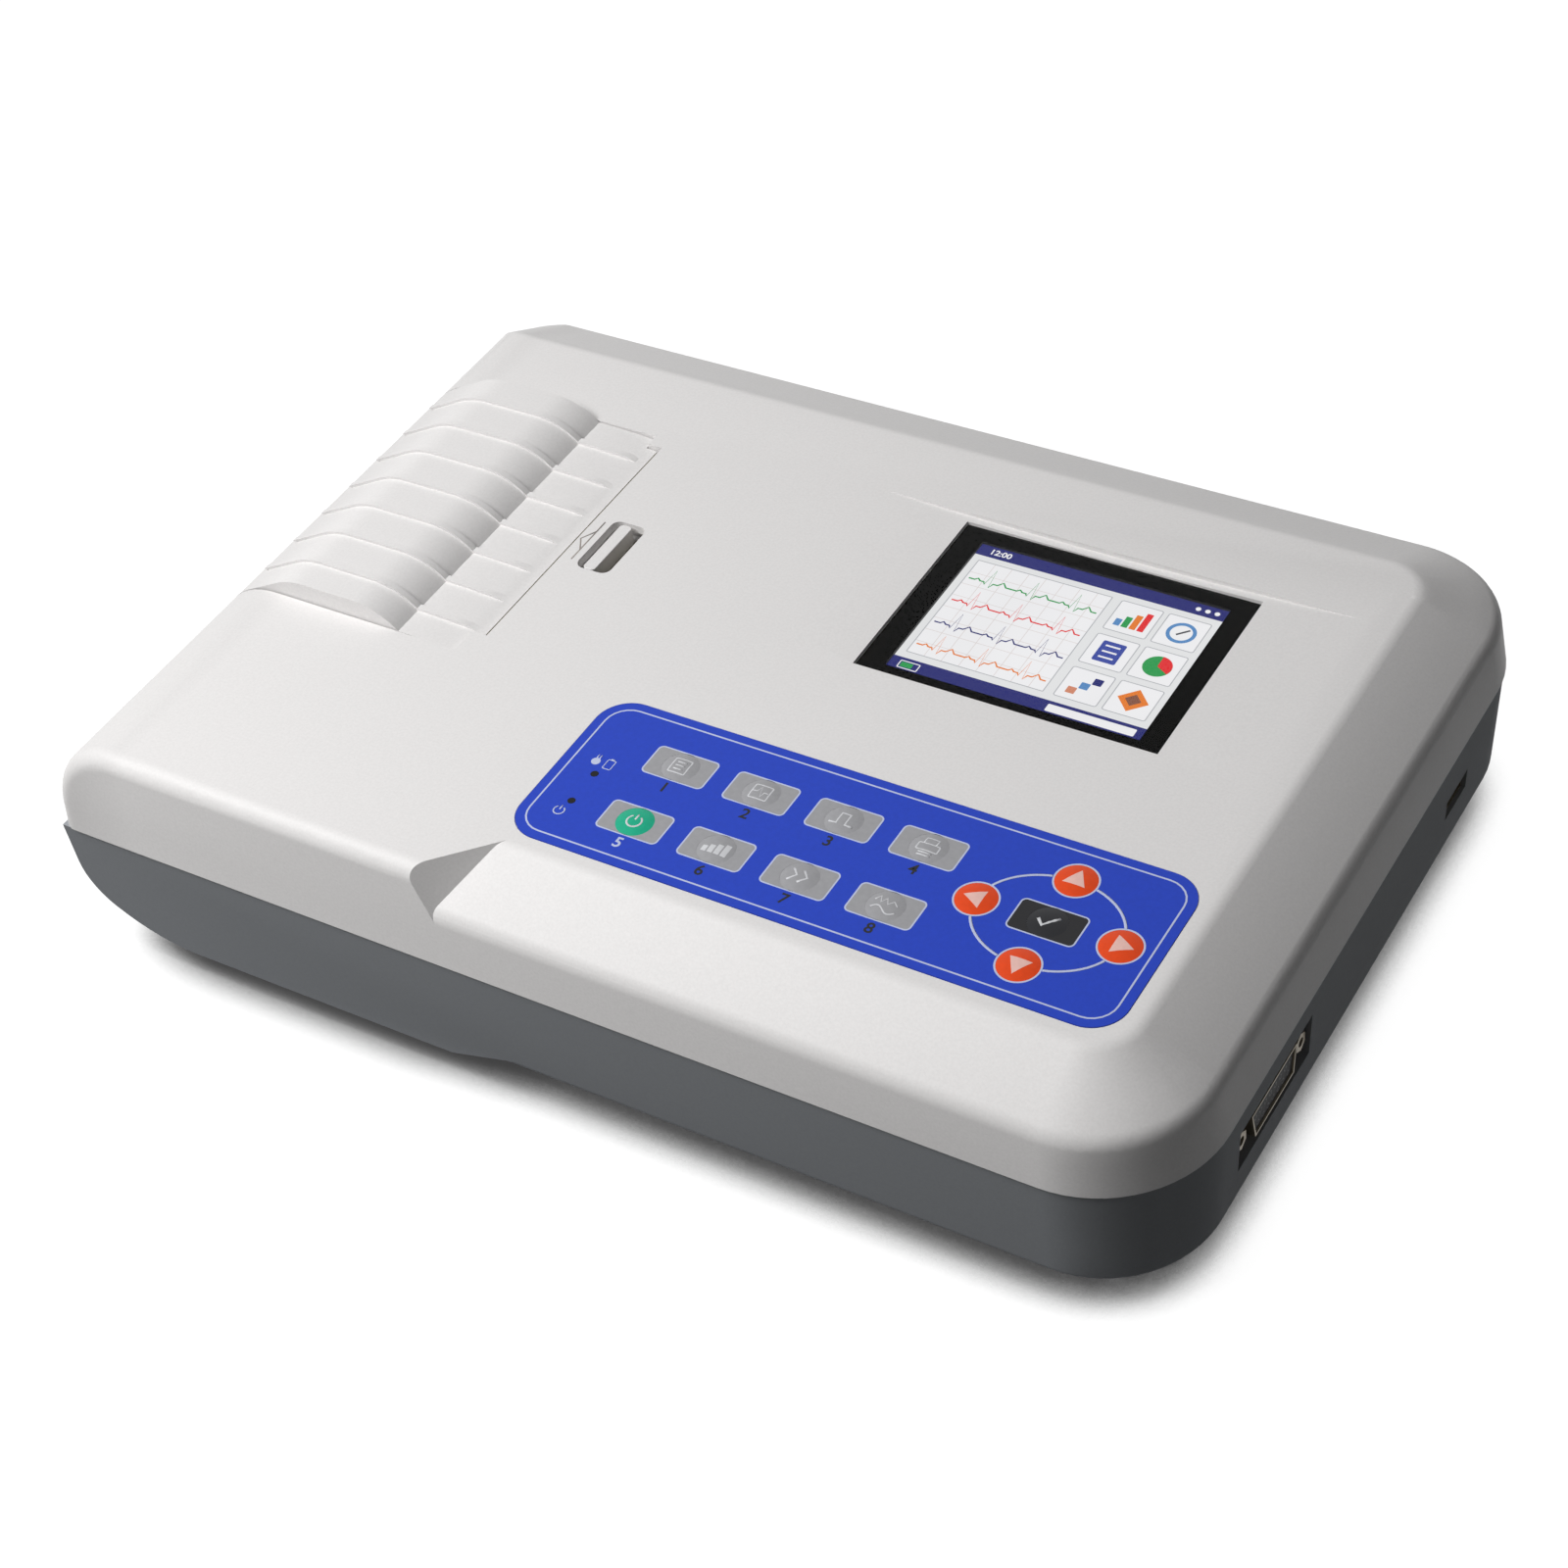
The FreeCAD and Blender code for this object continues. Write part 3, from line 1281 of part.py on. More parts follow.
def key(name, x, y, radius):
    """A key: a shallow dome level with the film, on a stem over its switch."""
    dome = d.key_dome
    sphere = (radius * radius + dome * dome) / (2 * dome)
    cap = turned(name + "_cap", [
        (0.0, stem_z),
        (d.stem_radius, stem_z),
        (d.stem_radius, skirt_z),
        (radius, skirt_z),
        (radius, overlay_top, 0.0, overlay_top + dome - sphere, 1),
        (0.0, overlay_top + dome),
    ])
    return node(name, place(cap, x, y, 0.0))


for key_name, key_x, key_y, key_size in KEYS:
    key(key_name, key_x, key_y, key_size)
half_switch = d.switch_side / 2
node("tact_switches", group([box(x - half_switch, y - half_switch, keypad_board_z,
                                 x + half_switch, y + half_switch, switch_z) for _, x, y, _ in KEYS]))
node("indicator_lamps", group([rod("Z", x, y, keypad_board_z, d.lamp_radius, overlay_top - keypad_board_z)
                               for x, y in LAMPS]))
node("keypad_board", box(overlay_x0 + d.board_margin, overlay_y0 + d.board_margin,
                         keypad_board_z - d.board_thickness, overlay_x1 - d.board_margin,
                         overlay_y1 - d.board_margin, keypad_board_z))


# Patient socket: a D-shaped metal shell on a flange, its insert and two jack posts

def d_outline(half_width, half_height, slant):
    """Outline of the D shape, wider at the top, across Y and Z."""
    low_half = half_width - slant
    low = socket_z - half_height
    high = socket_z + half_height
    return [(socket_y - low_half, low), (socket_y + low_half, low),
            (socket_y + half_width, high), (socket_y - half_width, high)]


shell_half = d.socket_shell_width / 2
shell_high = d.socket_shell_height / 2
skin = d.socket_shell_sheet
jack_y = (socket_y - d.socket_screw_spacing / 2, socket_y + d.socket_screw_spacing / 2)
flange_high = d.socket_flange_height / 2
jack_holes = [rod("X", socket_back - PAST, y, socket_z, d.jack_bore, d.socket_shell_depth + 2 * PAST)
              for y in jack_y]
flange = box(socket_back, socket_y - flange_half, socket_z - flange_high, socket_x, socket_y + flange_half,
             socket_z + flange_high)
d_shell = prism("socket_shell", "YZ", d_outline(shell_half, shell_high, d.socket_shell_slant), socket_x,
                d.socket_shell_depth)
space_plan = d_outline(shell_half - skin, shell_high - skin, d.socket_shell_slant)
d_space = prism("socket_space", "YZ", space_plan, socket_back - PAST, d.socket_shell_depth + 3 * PAST)
node("patient_socket_shell", cut(fuse(flange, d_shell), d_space, *jack_holes))
insert_length = d.socket_flange_thickness + d.socket_shell_depth - skin
tight = skin + d.running_clearance
insert_plan = d_outline(shell_half - tight, shell_high - tight, d.socket_shell_slant)
node("patient_socket_insert", fuse(
    prism("socket_insert", "YZ", insert_plan, socket_back, insert_length),
    box(socket_back - d.socket_body_depth, socket_y - shell_half, board_top, socket_back,
        socket_y + shell_half, socket_z + shell_high)))
node("jack_posts", group([cut(rod("X", socket_x, y, socket_z, d.jack_radius, d.jack_length),
                              rod("X", socket_x, y, socket_z, d.jack_bore, d.jack_length))
                          for y in jack_y]))


# USB socket on its small board

sheet_metal = d.usb_sheet
node("usb_socket", cut(
    box(usb_x0, usb_y - usb_half, usb_z - usb_high, usb_x1, usb_y + usb_half, usb_z + usb_high),
    box(usb_x0 + sheet_metal, usb_y - usb_half + sheet_metal, usb_z - usb_high + sheet_metal, usb_x1 + PAST,
        usb_y + usb_half - sheet_metal, usb_z + usb_high - sheet_metal)))
tongue_half = usb_half - 2 * sheet_metal
tongue_z = usb_z + sheet_metal
node("usb_tongue", box(usb_x0 + sheet_metal, usb_y - tongue_half, tongue_z,
                       usb_x1 - 4 * sheet_metal, usb_y + tongue_half, tongue_z + d.usb_tongue))
node("usb_board", box(usb_board_x0, usb_board_y0, usb_board_low, usb_board_x1, usb_board_y1, usb_board_top))


# Mains inlet with three flat pins, and the power rocker

def inlet_outline(inset):
    """Outline of the inlet across X and Z, with its two upper corners cut off."""
    half = d.inlet_width / 2 - inset
    low = panel_z - d.inlet_height / 2 + inset
    high = panel_z + d.inlet_height / 2 - inset
    corner = d.inlet_chamfer
    return [(inlet_x - half, low), (inlet_x + half, low),
            (inlet_x + half, high - corner), (inlet_x + half - corner, high),
            (inlet_x - half + corner, high), (inlet_x - half, high - corner)]


inlet_back = panel_y - d.inlet_depth
inlet_body = prism("inlet_body", "XZ", inlet_outline(0.0), inlet_back, d.inlet_depth)
inlet_rim = d.inlet_flange
inlet_plate = prism("inlet_plate", "XZ", rounded(
    inlet_x - d.inlet_width / 2 - inlet_rim, panel_z - d.inlet_height / 2 - inlet_rim,
    inlet_x + d.inlet_width / 2 + inlet_rim, panel_z + d.inlet_height / 2 + inlet_rim, inlet_rim),
    panel_y, d.inlet_flange_thickness)
pin_y = inlet_back + d.inlet_floor
inlet_space = prism("inlet_space", "XZ", inlet_outline(d.inlet_wall), pin_y, d.inlet_depth + PAST)
node("mains_inlet", cut(fuse(inlet_body, inlet_plate), inlet_space))
pin_wide = d.inlet_pin_thickness / 2
pin_high = d.inlet_pin_width / 2
pin_base = panel_z - d.inlet_earth_rise / 2
PINS = [(inlet_x - d.inlet_pin_spacing, pin_base), (inlet_x + d.inlet_pin_spacing, pin_base),
        (inlet_x, pin_base + d.inlet_earth_rise)]
pin_tip = pin_y + d.inlet_pin_length
node("inlet_pins", group([box(x - pin_wide, pin_y, z - pin_high, x + pin_wide, pin_tip, z + pin_high)
                          for x, z in PINS]))

rocker_flange = panel_y + d.inlet_flange_thickness
rocker_face = rocker_flange - d.rocker_throw
rocker_back = rocker_face - d.rocker_body
axle_y = rocker_face - d.rocker_body / 2
rocker_tip = d.rocker_height / 2
rocker_waist = rocker_tip - d.rocker_throw
wall_x = rocker_half_x + d.rocker_wall / 2
wall_z = rocker_half_z + d.rocker_wall / 2
rim_x = rocker_half_x + d.rocker_wall
rim_z = rocker_half_z + d.rocker_wall
frame_back = panel_y - d.rocker_depth
axle_bore = rod("X", rocker_x - rim_x, axle_y, panel_z, d.axle_radius + d.running_clearance, 2 * rim_x)
node("rocker_frame", cut(
    fuse(box(rocker_x - wall_x, frame_back, panel_z - wall_z, rocker_x + wall_x, panel_y, panel_z + wall_z),
         box(rocker_x - rim_x, panel_y, panel_z - rim_z, rocker_x + rim_x, rocker_flange, panel_z + rim_z)),
    box(rocker_x - rocker_half_x, frame_back + d.rocker_wall, panel_z - rocker_half_z,
        rocker_x + rocker_half_x, rocker_flange + PAST, panel_z + rocker_half_z),
    axle_bore))
paddle = prism("rocker_paddle", "YZ", [
    (rocker_back, panel_z - rocker_waist),
    (rocker_flange, panel_z - rocker_tip),
    (rocker_face, panel_z),
    (rocker_face, panel_z + rocker_tip),
    (rocker_back, panel_z + rocker_waist),
], rocker_x - d.rocker_width / 2, d.rocker_width)
node("power_rocker", fuse(paddle, rod("X", rocker_x - wall_x, axle_y, panel_z, d.axle_radius, 2 * wall_x)))


# Boards and what stands on them

buzzer_x = board_x0 + 2 * d.buzzer_radius
buzzer_y = board_y1 - 2 * d.buzzer_radius
node("main_board", box(board_x0, board_y0, board_low, board_x1, board_y1, board_top))
node("buzzer", rod("Z", buzzer_x, buzzer_y, board_top, d.buzzer_radius, d.buzzer_height))
node("power_board", box(supply_x0, supply_y0, supply_z, supply_x1, supply_y1, supply_z + d.board_thickness))
transformer_z = supply_z + d.board_thickness
transformer_half = d.transformer_length / 2
transformer_y = supply_y1 - 1.5 * d.transformer_width
transformer_top = transformer_z + d.transformer_height
transformer_back = transformer_y + d.transformer_width
node("power_transformer", box(inlet_x - transformer_half, transformer_y, transformer_z,
                              inlet_x + transformer_half, transformer_back, transformer_top))


doc.recompute()
for item in doc.Objects:
    if "Invalid" in item.State or "Error" in item.State:
        raise RuntimeError(f"{item.Label} failed: {item.State}")
for item in nodes:
    if item.Shape.isNull() or not item.Shape.isValid():
        raise RuntimeError(f"{item.Label} has no valid shape")
os.makedirs("parts", exist_ok=True)
for item in nodes:
    item.Shape.exportStep(f"parts/{item.Label}.step")
print(f"{len(nodes)} sub-parts written")
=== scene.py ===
"""Looks of a portable electrocardiograph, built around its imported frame. Lengths are in millimetres."""
import json
import math

import bmesh
import bpy
from mathutils import Matrix, Vector


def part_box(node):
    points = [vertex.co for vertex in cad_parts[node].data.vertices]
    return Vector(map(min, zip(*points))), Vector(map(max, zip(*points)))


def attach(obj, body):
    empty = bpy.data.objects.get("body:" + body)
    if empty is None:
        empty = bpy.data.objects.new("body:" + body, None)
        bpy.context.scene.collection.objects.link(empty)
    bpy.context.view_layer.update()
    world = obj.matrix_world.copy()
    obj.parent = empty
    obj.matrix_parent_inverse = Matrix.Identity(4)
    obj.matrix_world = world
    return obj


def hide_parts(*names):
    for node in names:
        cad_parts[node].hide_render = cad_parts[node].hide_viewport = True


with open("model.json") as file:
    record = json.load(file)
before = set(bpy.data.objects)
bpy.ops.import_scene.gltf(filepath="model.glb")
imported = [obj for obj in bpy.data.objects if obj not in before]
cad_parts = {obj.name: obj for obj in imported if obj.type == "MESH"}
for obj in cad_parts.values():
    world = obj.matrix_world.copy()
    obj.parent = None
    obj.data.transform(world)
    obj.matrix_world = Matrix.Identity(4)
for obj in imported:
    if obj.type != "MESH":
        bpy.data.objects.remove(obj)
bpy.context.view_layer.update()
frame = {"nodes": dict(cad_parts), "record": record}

MM = 0.001
scene = bpy.context.scene


# Places on the machine

def box_mm(node):
    """Lowest and highest corner of a node at rest."""
    low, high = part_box(node)
    return low / MM, high / MM


def middle_of(node):
    """Middle of a node's box at rest."""
    low, high = box_mm(node)
    return (low + high) / 2


film_low, film_high = box_mm("keypad_overlay")
film_top = film_high.z
panel_low, panel_high = box_mm("display_panel")
plateau = box_mm("top_housing")[1].z

KEY_RADIUS = 4.8
ARROW_RADIUS = 5.15
DOME_RISE = 0.6
FIELD_GAP = 0.02
FIELD_WIDTH = 17.5
FIELD_DEPTH = 10.2
FIELD_CORNER = 1.5
FIELD_RIM = 0.4
FILM_CORNER = 9.0
NUMBER_SIZE = 4.6
NUMBER_DROP = 2.7
INK = 0.03
PICTURE_WIDTH = 70.4
PICTURE_HEIGHT = 52.9
LATCH_OVERLAP = 2.8
LATCH_TRAVEL = 1.8
RIDGE_RISE = 4.7
SLOT_EDGE = 70.0

NUMBERED_KEYS = ("menu_key", "mode_key", "pulse_key", "print_key", "power_key", "gain_key", "speed_key",
                 "filter_key")
ARROW_KEYS = {"left_key": 180.0, "right_key": 0.0, "up_key": 90.0, "down_key": 270.0}


# Finishes

def srgb(red, green, blue):
    """A colour as a screen shows it, 0 to 255, in linear terms."""
    return tuple((c / 255 / 12.92) if c < 10.3 else ((c / 255 + 0.055) / 1.055) ** 2.4
                 for c in (red, green, blue))


def shade(colour, amount):
    """A colour made darker or lighter by a factor."""
    return tuple(min(1.0, c * amount) for c in colour)


class Finish:
    """A material on a piece's own coordinates, with grain in its colour, gloss and relief."""

    def __init__(self, name, colour, roughness, metal=0.0):
        self.material = bpy.data.materials.new(name)
        self.material.use_nodes = True
        self.nodes = self.material.node_tree.nodes
        self.links = self.material.node_tree.links
        self.shader = self.nodes["Principled BSDF"]
        self.place = self.nodes.new("ShaderNodeTexCoord").outputs["Object"]
        self.colour = colour
        self.value("Base Color", (*colour, 1.0))
        self.value("Roughness", roughness)
        self.value("Metallic", metal)

    def value(self, socket, number):
        """Sets a plain value on the shader."""
        self.shader.inputs[socket].default_value = number
        return self

    def noise(self, size, detail=3.0):
        """A noise whose patches are about size across."""
        texture = self.nodes.new("ShaderNodeTexNoise")
        texture.inputs["Scale"].default_value = 1.0 / (size * MM)
        texture.inputs["Detail"].default_value = detail
        self.links.new(self.place, texture.inputs["Vector"])
        return texture.outputs["Fac"]

    def mottle(self, size, spread, socket="Base Color"):
        """Lighter and darker patches of the finish's own colour."""
        ramp = self.nodes.new("ShaderNodeValToRGB")
        ramp.color_ramp.elements[0].position = 0.3
        ramp.color_ramp.elements[1].position = 0.7
        ramp.color_ramp.elements[0].color = (*shade(self.colour, 1.0 - spread), 1.0)
        ramp.color_ramp.elements[1].color = (*shade(self.colour, 1.0 + spread), 1.0)
        self.links.new(self.noise(size), ramp.inputs["Fac"])
        self.links.new(ramp.outputs["Color"], self.shader.inputs[socket])
        return self

    def greyer_end(self, end, inner, factor):
        """Makes the colour greyer from an inner place to the machine's end, along X: painted shade, not
        lit.
        """
        split = self.nodes.new("ShaderNodeSeparateXYZ")
        span = self.nodes.new("ShaderNodeMapRange")
        span.inputs["From Min"].default_value = end * MM
        span.inputs["From Max"].default_value = inner * MM
        span.inputs["To Min"].default_value = factor
        shade_scale = self.nodes.new("ShaderNodeVectorMath")
        shade_scale.operation = "SCALE"
        colour = self.shader.inputs["Base Color"].links[0].from_socket
        self.links.new(self.place, split.inputs["Vector"])
        self.links.new(split.outputs["X"], span.inputs["Value"])
        self.links.new(colour, shade_scale.inputs["Vector"])
        self.links.new(span.outputs["Result"], shade_scale.inputs["Scale"])
        self.links.new(shade_scale.outputs["Vector"], self.shader.inputs["Base Color"])
        return self

    def gloss(self, size, low, high):
        """Patches of smoother and duller surface."""
        span = self.nodes.new("ShaderNodeMapRange")
        span.inputs["To Min"].default_value = low
        span.inputs["To Max"].default_value = high
        self.links.new(self.noise(size), span.inputs["Value"])
        self.links.new(span.outputs["Result"], self.shader.inputs["Roughness"])
        return self

    def relief(self, size, depth, stretch=None):
        """A fine unevenness of the surface, drawn out along an axis where stretch gives one."""
        source = self.noise(size, 2.0)
        if stretch is not None:
            mapping = self.nodes.new("ShaderNodeMapping")
            mapping.inputs["Scale"].default_value = stretch
            self.links.new(self.place, mapping.inputs["Vector"])
            self.links.new(mapping.outputs["Vector"], source.node.inputs["Vector"])
        bump = self.nodes.new("ShaderNodeBump")
        bump.inputs["Distance"].default_value = depth * MM
        self.links.new(source, bump.inputs["Height"])
        self.links.new(bump.outputs["Normal"], self.shader.inputs["Normal"])
        return self


def moulded(name, colour, roughness, grain=0.7, depth=0.02, shine=0.2):
    """Plastic from a spark-eroded mould."""
    finish = Finish(name, colour, roughness)
    finish.value("Specular IOR Level", shine)
    finish.mottle(grain, 0.03)
    finish.gloss(grain * 3, roughness - 0.05, roughness + 0.05)
    return finish.relief(grain, depth)


def film_ink(name, colour, roughness=0.4):
    """Ink under a polyester film."""
    finish = Finish(name, colour, roughness)
    finish.value("Specular IOR Level", 0.3)
    return finish.mottle(1.2, 0.04).relief(0.8, 0.004)


def metal(name, colour, roughness, stretch=(1.0, 1.0, 1.0)):
    """Plated or turned metal with fine drawn marks."""
    finish = Finish(name, colour, roughness, metal=1.0)
    finish.mottle(2.0, 0.05)
    finish.gloss(1.5, roughness - 0.08, roughness + 0.08)
    return finish.relief(0.4, 0.004, stretch)


def lit(name, colour):
    """A patch of the lit picture."""
    finish = Finish(name, colour, 0.5)
    finish.value("Base Color", (0.0, 0.0, 0.0, 1.0))
    finish.value("Specular IOR Level", 0.0)
    finish.value("Emission Strength", 1.0)
    return finish.mottle(30.0, 0.02, "Emission Color")


def clear_glass():
    """The display's clear window, with faint smears."""
    finish = Finish("window_clear", (1.0, 1.0, 1.0), 0.02)
    finish.value("Transmission Weight", 1.0)
    finish.value("IOR", 1.18)
    return finish.gloss(12.0, 0.0, 0.05)


def thermal_paper():
    """Chart paper with a faint printed grid, which follows the roll round."""
    finish = Finish("paper", srgb(238, 232, 224), 0.7)
    finish.value("Specular IOR Level", 0.2)
    centre = middle_of("paper_roll") * MM
    radius = (box_mm("paper_roll")[1].z - middle_of("paper_roll").z) * MM
    nodes = finish.nodes
    links = finish.links
    split = nodes.new("ShaderNodeSeparateXYZ")
    mapping = nodes.new("ShaderNodeMapping")
    mapping.inputs["Location"].default_value = -centre
    links.new(finish.place, mapping.inputs["Vector"])
    links.new(mapping.outputs["Vector"], split.inputs["Vector"])

    def maths(operation, first, second):
        node = nodes.new("ShaderNodeMath")
        node.operation = operation
        for socket, source in zip(node.inputs, (first, second)):
            if isinstance(source, float):
                socket.default_value = source
            else:
                links.new(source, socket)
        return node.outputs["Value"]

    turn = maths("ARCTAN2", split.outputs["Z"], split.outputs["X"])
    along = maths("MULTIPLY", turn, radius)
    pitch = 5.0 * MM
    line = 0.35 * MM
    runs = (along, split.outputs["Y"])
    lines = [maths("LESS_THAN", maths("FLOORED_MODULO", run, pitch), line) for run in runs]
    ramp = nodes.new("ShaderNodeValToRGB")
    ramp.color_ramp.elements[0].color = (*finish.colour, 1.0)
    ramp.color_ramp.elements[1].color = (*srgb(232, 168, 158), 1.0)
    links.new(maths("MAXIMUM", *lines), ramp.inputs["Fac"])
    links.new(ramp.outputs["Color"], finish.shader.inputs["Base Color"])
    return finish.relief(0.3, 0.006)


FINISHES = {
    # Painted shade: the white case is up to 14 percent darker over its left end, from x -132 to -150 mm.
    "case_white": moulded("case_white", srgb(232, 230, 229), 0.45,
                          shine=0.25).greyer_end(-150.0, -132.0, 0.86),
    "case_grey": moulded("case_grey", srgb(152, 155, 159), 0.6, shine=0.04),
    "foot_rubber": moulded("foot_rubber", srgb(38, 38, 40), 0.75),
    "platen_rubber": moulded("platen_rubber", srgb(46, 46, 48), 0.65, 0.4, 0.01),
    "steel": metal("steel", srgb(188, 188, 190), 0.32, (0.1, 1.0, 1.0)),
    "brass": metal("brass", srgb(206, 174, 104), 0.28),
    "gear_white": moulded("gear_white", srgb(236, 232, 216), 0.4, 1.5, 0.005),
    "head_ceramic": moulded("head_ceramic", srgb(96, 78, 62), 0.25, 1.0, 0.003),
    "heatsink": metal("heatsink", srgb(196, 198, 200), 0.4, (1.0, 0.1, 1.0)),
    "paper": thermal_paper(),
    "dark_plastic": moulded("dark_plastic", srgb(50, 51, 54), 0.5),
    "window_clear": clear_glass(),
    "display_black": moulded("display_black", srgb(8, 8, 10), 0.35, 2.0, 0.002),
    "display_screen": lit("display_screen", srgb(224, 225, 226)),
    "film_blue": film_ink("film_blue", srgb(32, 66, 190)),
    "key_grey": film_ink("key_grey", srgb(160, 160, 163), 0.35),
    "key_green": film_ink("key_green", srgb(18, 172, 134), 0.35),
    "key_orange": film_ink("key_orange", srgb(232, 72, 14), 0.35),
    "key_black": film_ink("key_black", srgb(20, 21, 26), 0.3),
    "board_green": moulded("board_green", srgb(34, 104, 62), 0.4, 4.0, 0.01),
    "transformer": moulded("transformer", srgb(90, 84, 74), 0.5, 1.5, 0.05),
    "lamp_clear": moulded("lamp_clear", srgb(14, 14, 16), 0.2, 1.0, 0.002),
    "battery_wrap": moulded("battery_wrap", srgb(62, 104, 158), 0.3, 3.0, 0.02),
    "socket_metal": metal("socket_metal", srgb(112, 104, 90), 0.42),
    "socket_black": moulded("socket_black", srgb(22, 22, 24), 0.5, shine=0.06),
}
PALE_INK = film_ink("pale_ink", srgb(196, 204, 232))
ICON_INK = film_ink("icon_ink", srgb(212, 213, 216))
BLACK_INK = film_ink("black_ink", srgb(12, 12, 16))
WHITE_INK = film_ink("white_ink", srgb(236, 238, 240))
ARROW_INK = film_ink("arrow_ink", srgb(240, 196, 186))
GROOVE_INK = film_ink("groove_ink", srgb(158, 150, 144), 0.6)
# Dark ink for painted shade in the latch's recess; the tear strip takes it too.
PAINTED_SHADE_INK = film_ink("painted_shade_ink", srgb(122, 115, 92), 0.6)

for entry in frame["record"]["subparts"]:
    surface = frame["nodes"][entry["node"]].data
    surface.materials.clear()
    surface.materials.append(FINISHES[entry["material_slot"]].material)


# Ways of making pieces

def piece(name, shape, finish, body, replaced=()):
    """A finished object from a shape in millimetres, riding on a body."""
    bmesh.ops.scale(shape, vec=(MM, MM, MM), verts=shape.verts)
    mesh = bpy.data.meshes.new(name)
    shape.to_mesh(mesh)
    shape.free()
    mesh.materials.append(finish.material)
    made = bpy.data.objects.new(name, mesh)
    scene.collection.objects.link(made)
    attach(made, body)
    if replaced:
        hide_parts(*replaced)
    return made


def rounded_copy(node, name, body, slot, width):
    """A node's mesh, merged, with a small round on its sharp edges, in the node's place."""
    shape = bmesh.new()
    shape.from_mesh(frame["nodes"][node].data)
    bmesh.ops.scale(shape, vec=(1 / MM, 1 / MM, 1 / MM), verts=shape.verts)
    bmesh.ops.remove_doubles(shape, verts=shape.verts, dist=0.002)
    bmesh.ops.dissolve_limit(shape, angle_limit=math.radians(0.3), verts=shape.verts, edges=shape.edges)
    sharp = math.radians(28)
    for edge in shape.edges:
        edge.smooth = edge.calc_face_angle(math.pi) < sharp
    for face in shape.faces:
        face.smooth = True
    made = piece(name, shape, FINISHES[slot], body, [node])
    soft = made.modifiers.new("soft_edges", "BEVEL")
    soft.width = width * MM
    soft.segments = 3
    soft.limit_method = "ANGLE"
    soft.angle_limit = math.radians(40)
    soft.harden_normals = True
    return made


def arc(x, y, radius, start, end, steps=8, squash=1.0):
    """Points along an arc, with angles in degrees."""
    turns = [math.radians(start + (end - start) * i / steps) for i in range(steps + 1)]
    return [(x + radius * math.cos(t), y + squash * radius * math.sin(t)) for t in turns]


def circle(x, y, radius):
    """A closed round outline."""
    return arc(x, y, radius, 0.0, 360.0, 40)[:-1]


def round_box(x, y, width, depth, corner):
    """Outline of a rectangle about a middle point, with round corners."""
    across = width / 2 - corner
    along = depth / 2 - corner
    turns = ((across, along, 0.0), (-across, along, 90.0),
             (-across, -along, 180.0), (across, -along, 270.0))
    return [point for a, b, turn in turns for point in arc(x + a, y + b, corner, turn, turn + 90.0, 6)]


def shifted(points, x, y):
    """Points moved to a place."""
    return [(x + a, y + b) for a, b in points]


def dome(x, y, radius):
    """Height of a key's dome over the film at a point."""
    ball = (radius * radius + DOME_RISE * DOME_RISE) / (2 * DOME_RISE)

    def height(point):
        away = (point.x - x) ** 2 + (point.y - y) ** 2
        return math.sqrt(max(0.0, ball * ball - away)) - ball + DOME_RISE
    return height


class Print:
    """Flat shapes of one ink, gathered as one thin piece at a height."""

    def __init__(self, height):
        self.height = height
        self.shape = bmesh.new()

    def take(self, curve, x=0.0, y=0.0, flatten=1.0):
        """Adds a curve's mesh at a place, squeezed to the ink's thickness."""
        holder = bpy.data.objects.new("ink", curve)
        mesh = bpy.data.meshes.new_from_object(holder)
        squeeze = Matrix.Diagonal((1.0, 1.0, flatten, 1.0))
        mesh.transform(Matrix.Translation((x, y, self.height)) @ squeeze)
        self.shape.from_mesh(mesh)
        bpy.data.objects.remove(holder)
        bpy.data.curves.remove(curve)
        bpy.data.meshes.remove(mesh)
        return self

    def fill(self, *outlines):
        """A filled outline; an outline inside another is a hole."""
        curve = bpy.data.curves.new("patch", "CURVE")
        curve.dimensions = "2D"
        curve.fill_mode = "BOTH"
        curve.extrude = INK
        for outline in outlines:
            spline = curve.splines.new("POLY")
            spline.points.add(len(outline) - 1)
            spline.use_cyclic_u = True
            for point, (x, y) in zip(spline.points, outline):
                point.co = (x, y, 0.0, 1.0)
        return self.take(curve)

    def line(self, points, width, closed=False):
        """A line of ink with round edges."""
        curve = bpy.data.curves.new("line", "CURVE")
        curve.dimensions = "3D"
        curve.bevel_depth = width / 2
        curve.bevel_resolution = 1
        curve.use_fill_caps = True
        spline = curve.splines.new("POLY")
        spline.points.add(len(points) - 1)
        spline.use_cyclic_u = closed
        for point, (x, y) in zip(spline.points, points):
            point.co = (x, y, 0.0, 1.0)
        return self.take(curve, flatten=2 * INK / width)

    def figures(self, digits, x, y, size):
        """Plain figures about a middle point."""
        curve = bpy.data.curves.new("figures", "FONT")
        curve.body = digits
        curve.size = size
        curve.align_x = "CENTER"
        curve.align_y = "CENTER"
        curve.offset = size * 0.018
        curve.extrude = INK
        return self.take(curve, x, y)

    def make(self, name, finish, body, slot, lift=None, place=None):
        """The printed piece, raised over a dome or placed on another face where that is given."""
        bmesh.ops.remove_doubles(self.shape, verts=self.shape.verts, dist=0.0005)
        if lift is not None:
            bmesh.ops.triangulate(self.shape, faces=self.shape.faces)
            bmesh.ops.subdivide_edges(self.shape, edges=self.shape.edges, cuts=2, use_grid_fill=True)
            for corner in self.shape.verts:
                corner.co.z += lift(corner.co)
        if place is not None:
            bmesh.ops.transform(self.shape, matrix=place, verts=self.shape.verts)
        bmesh.ops.recalc_face_normals(self.shape, faces=self.shape.faces)
        return piece(name, self.shape, finish, body)


# Case and cover

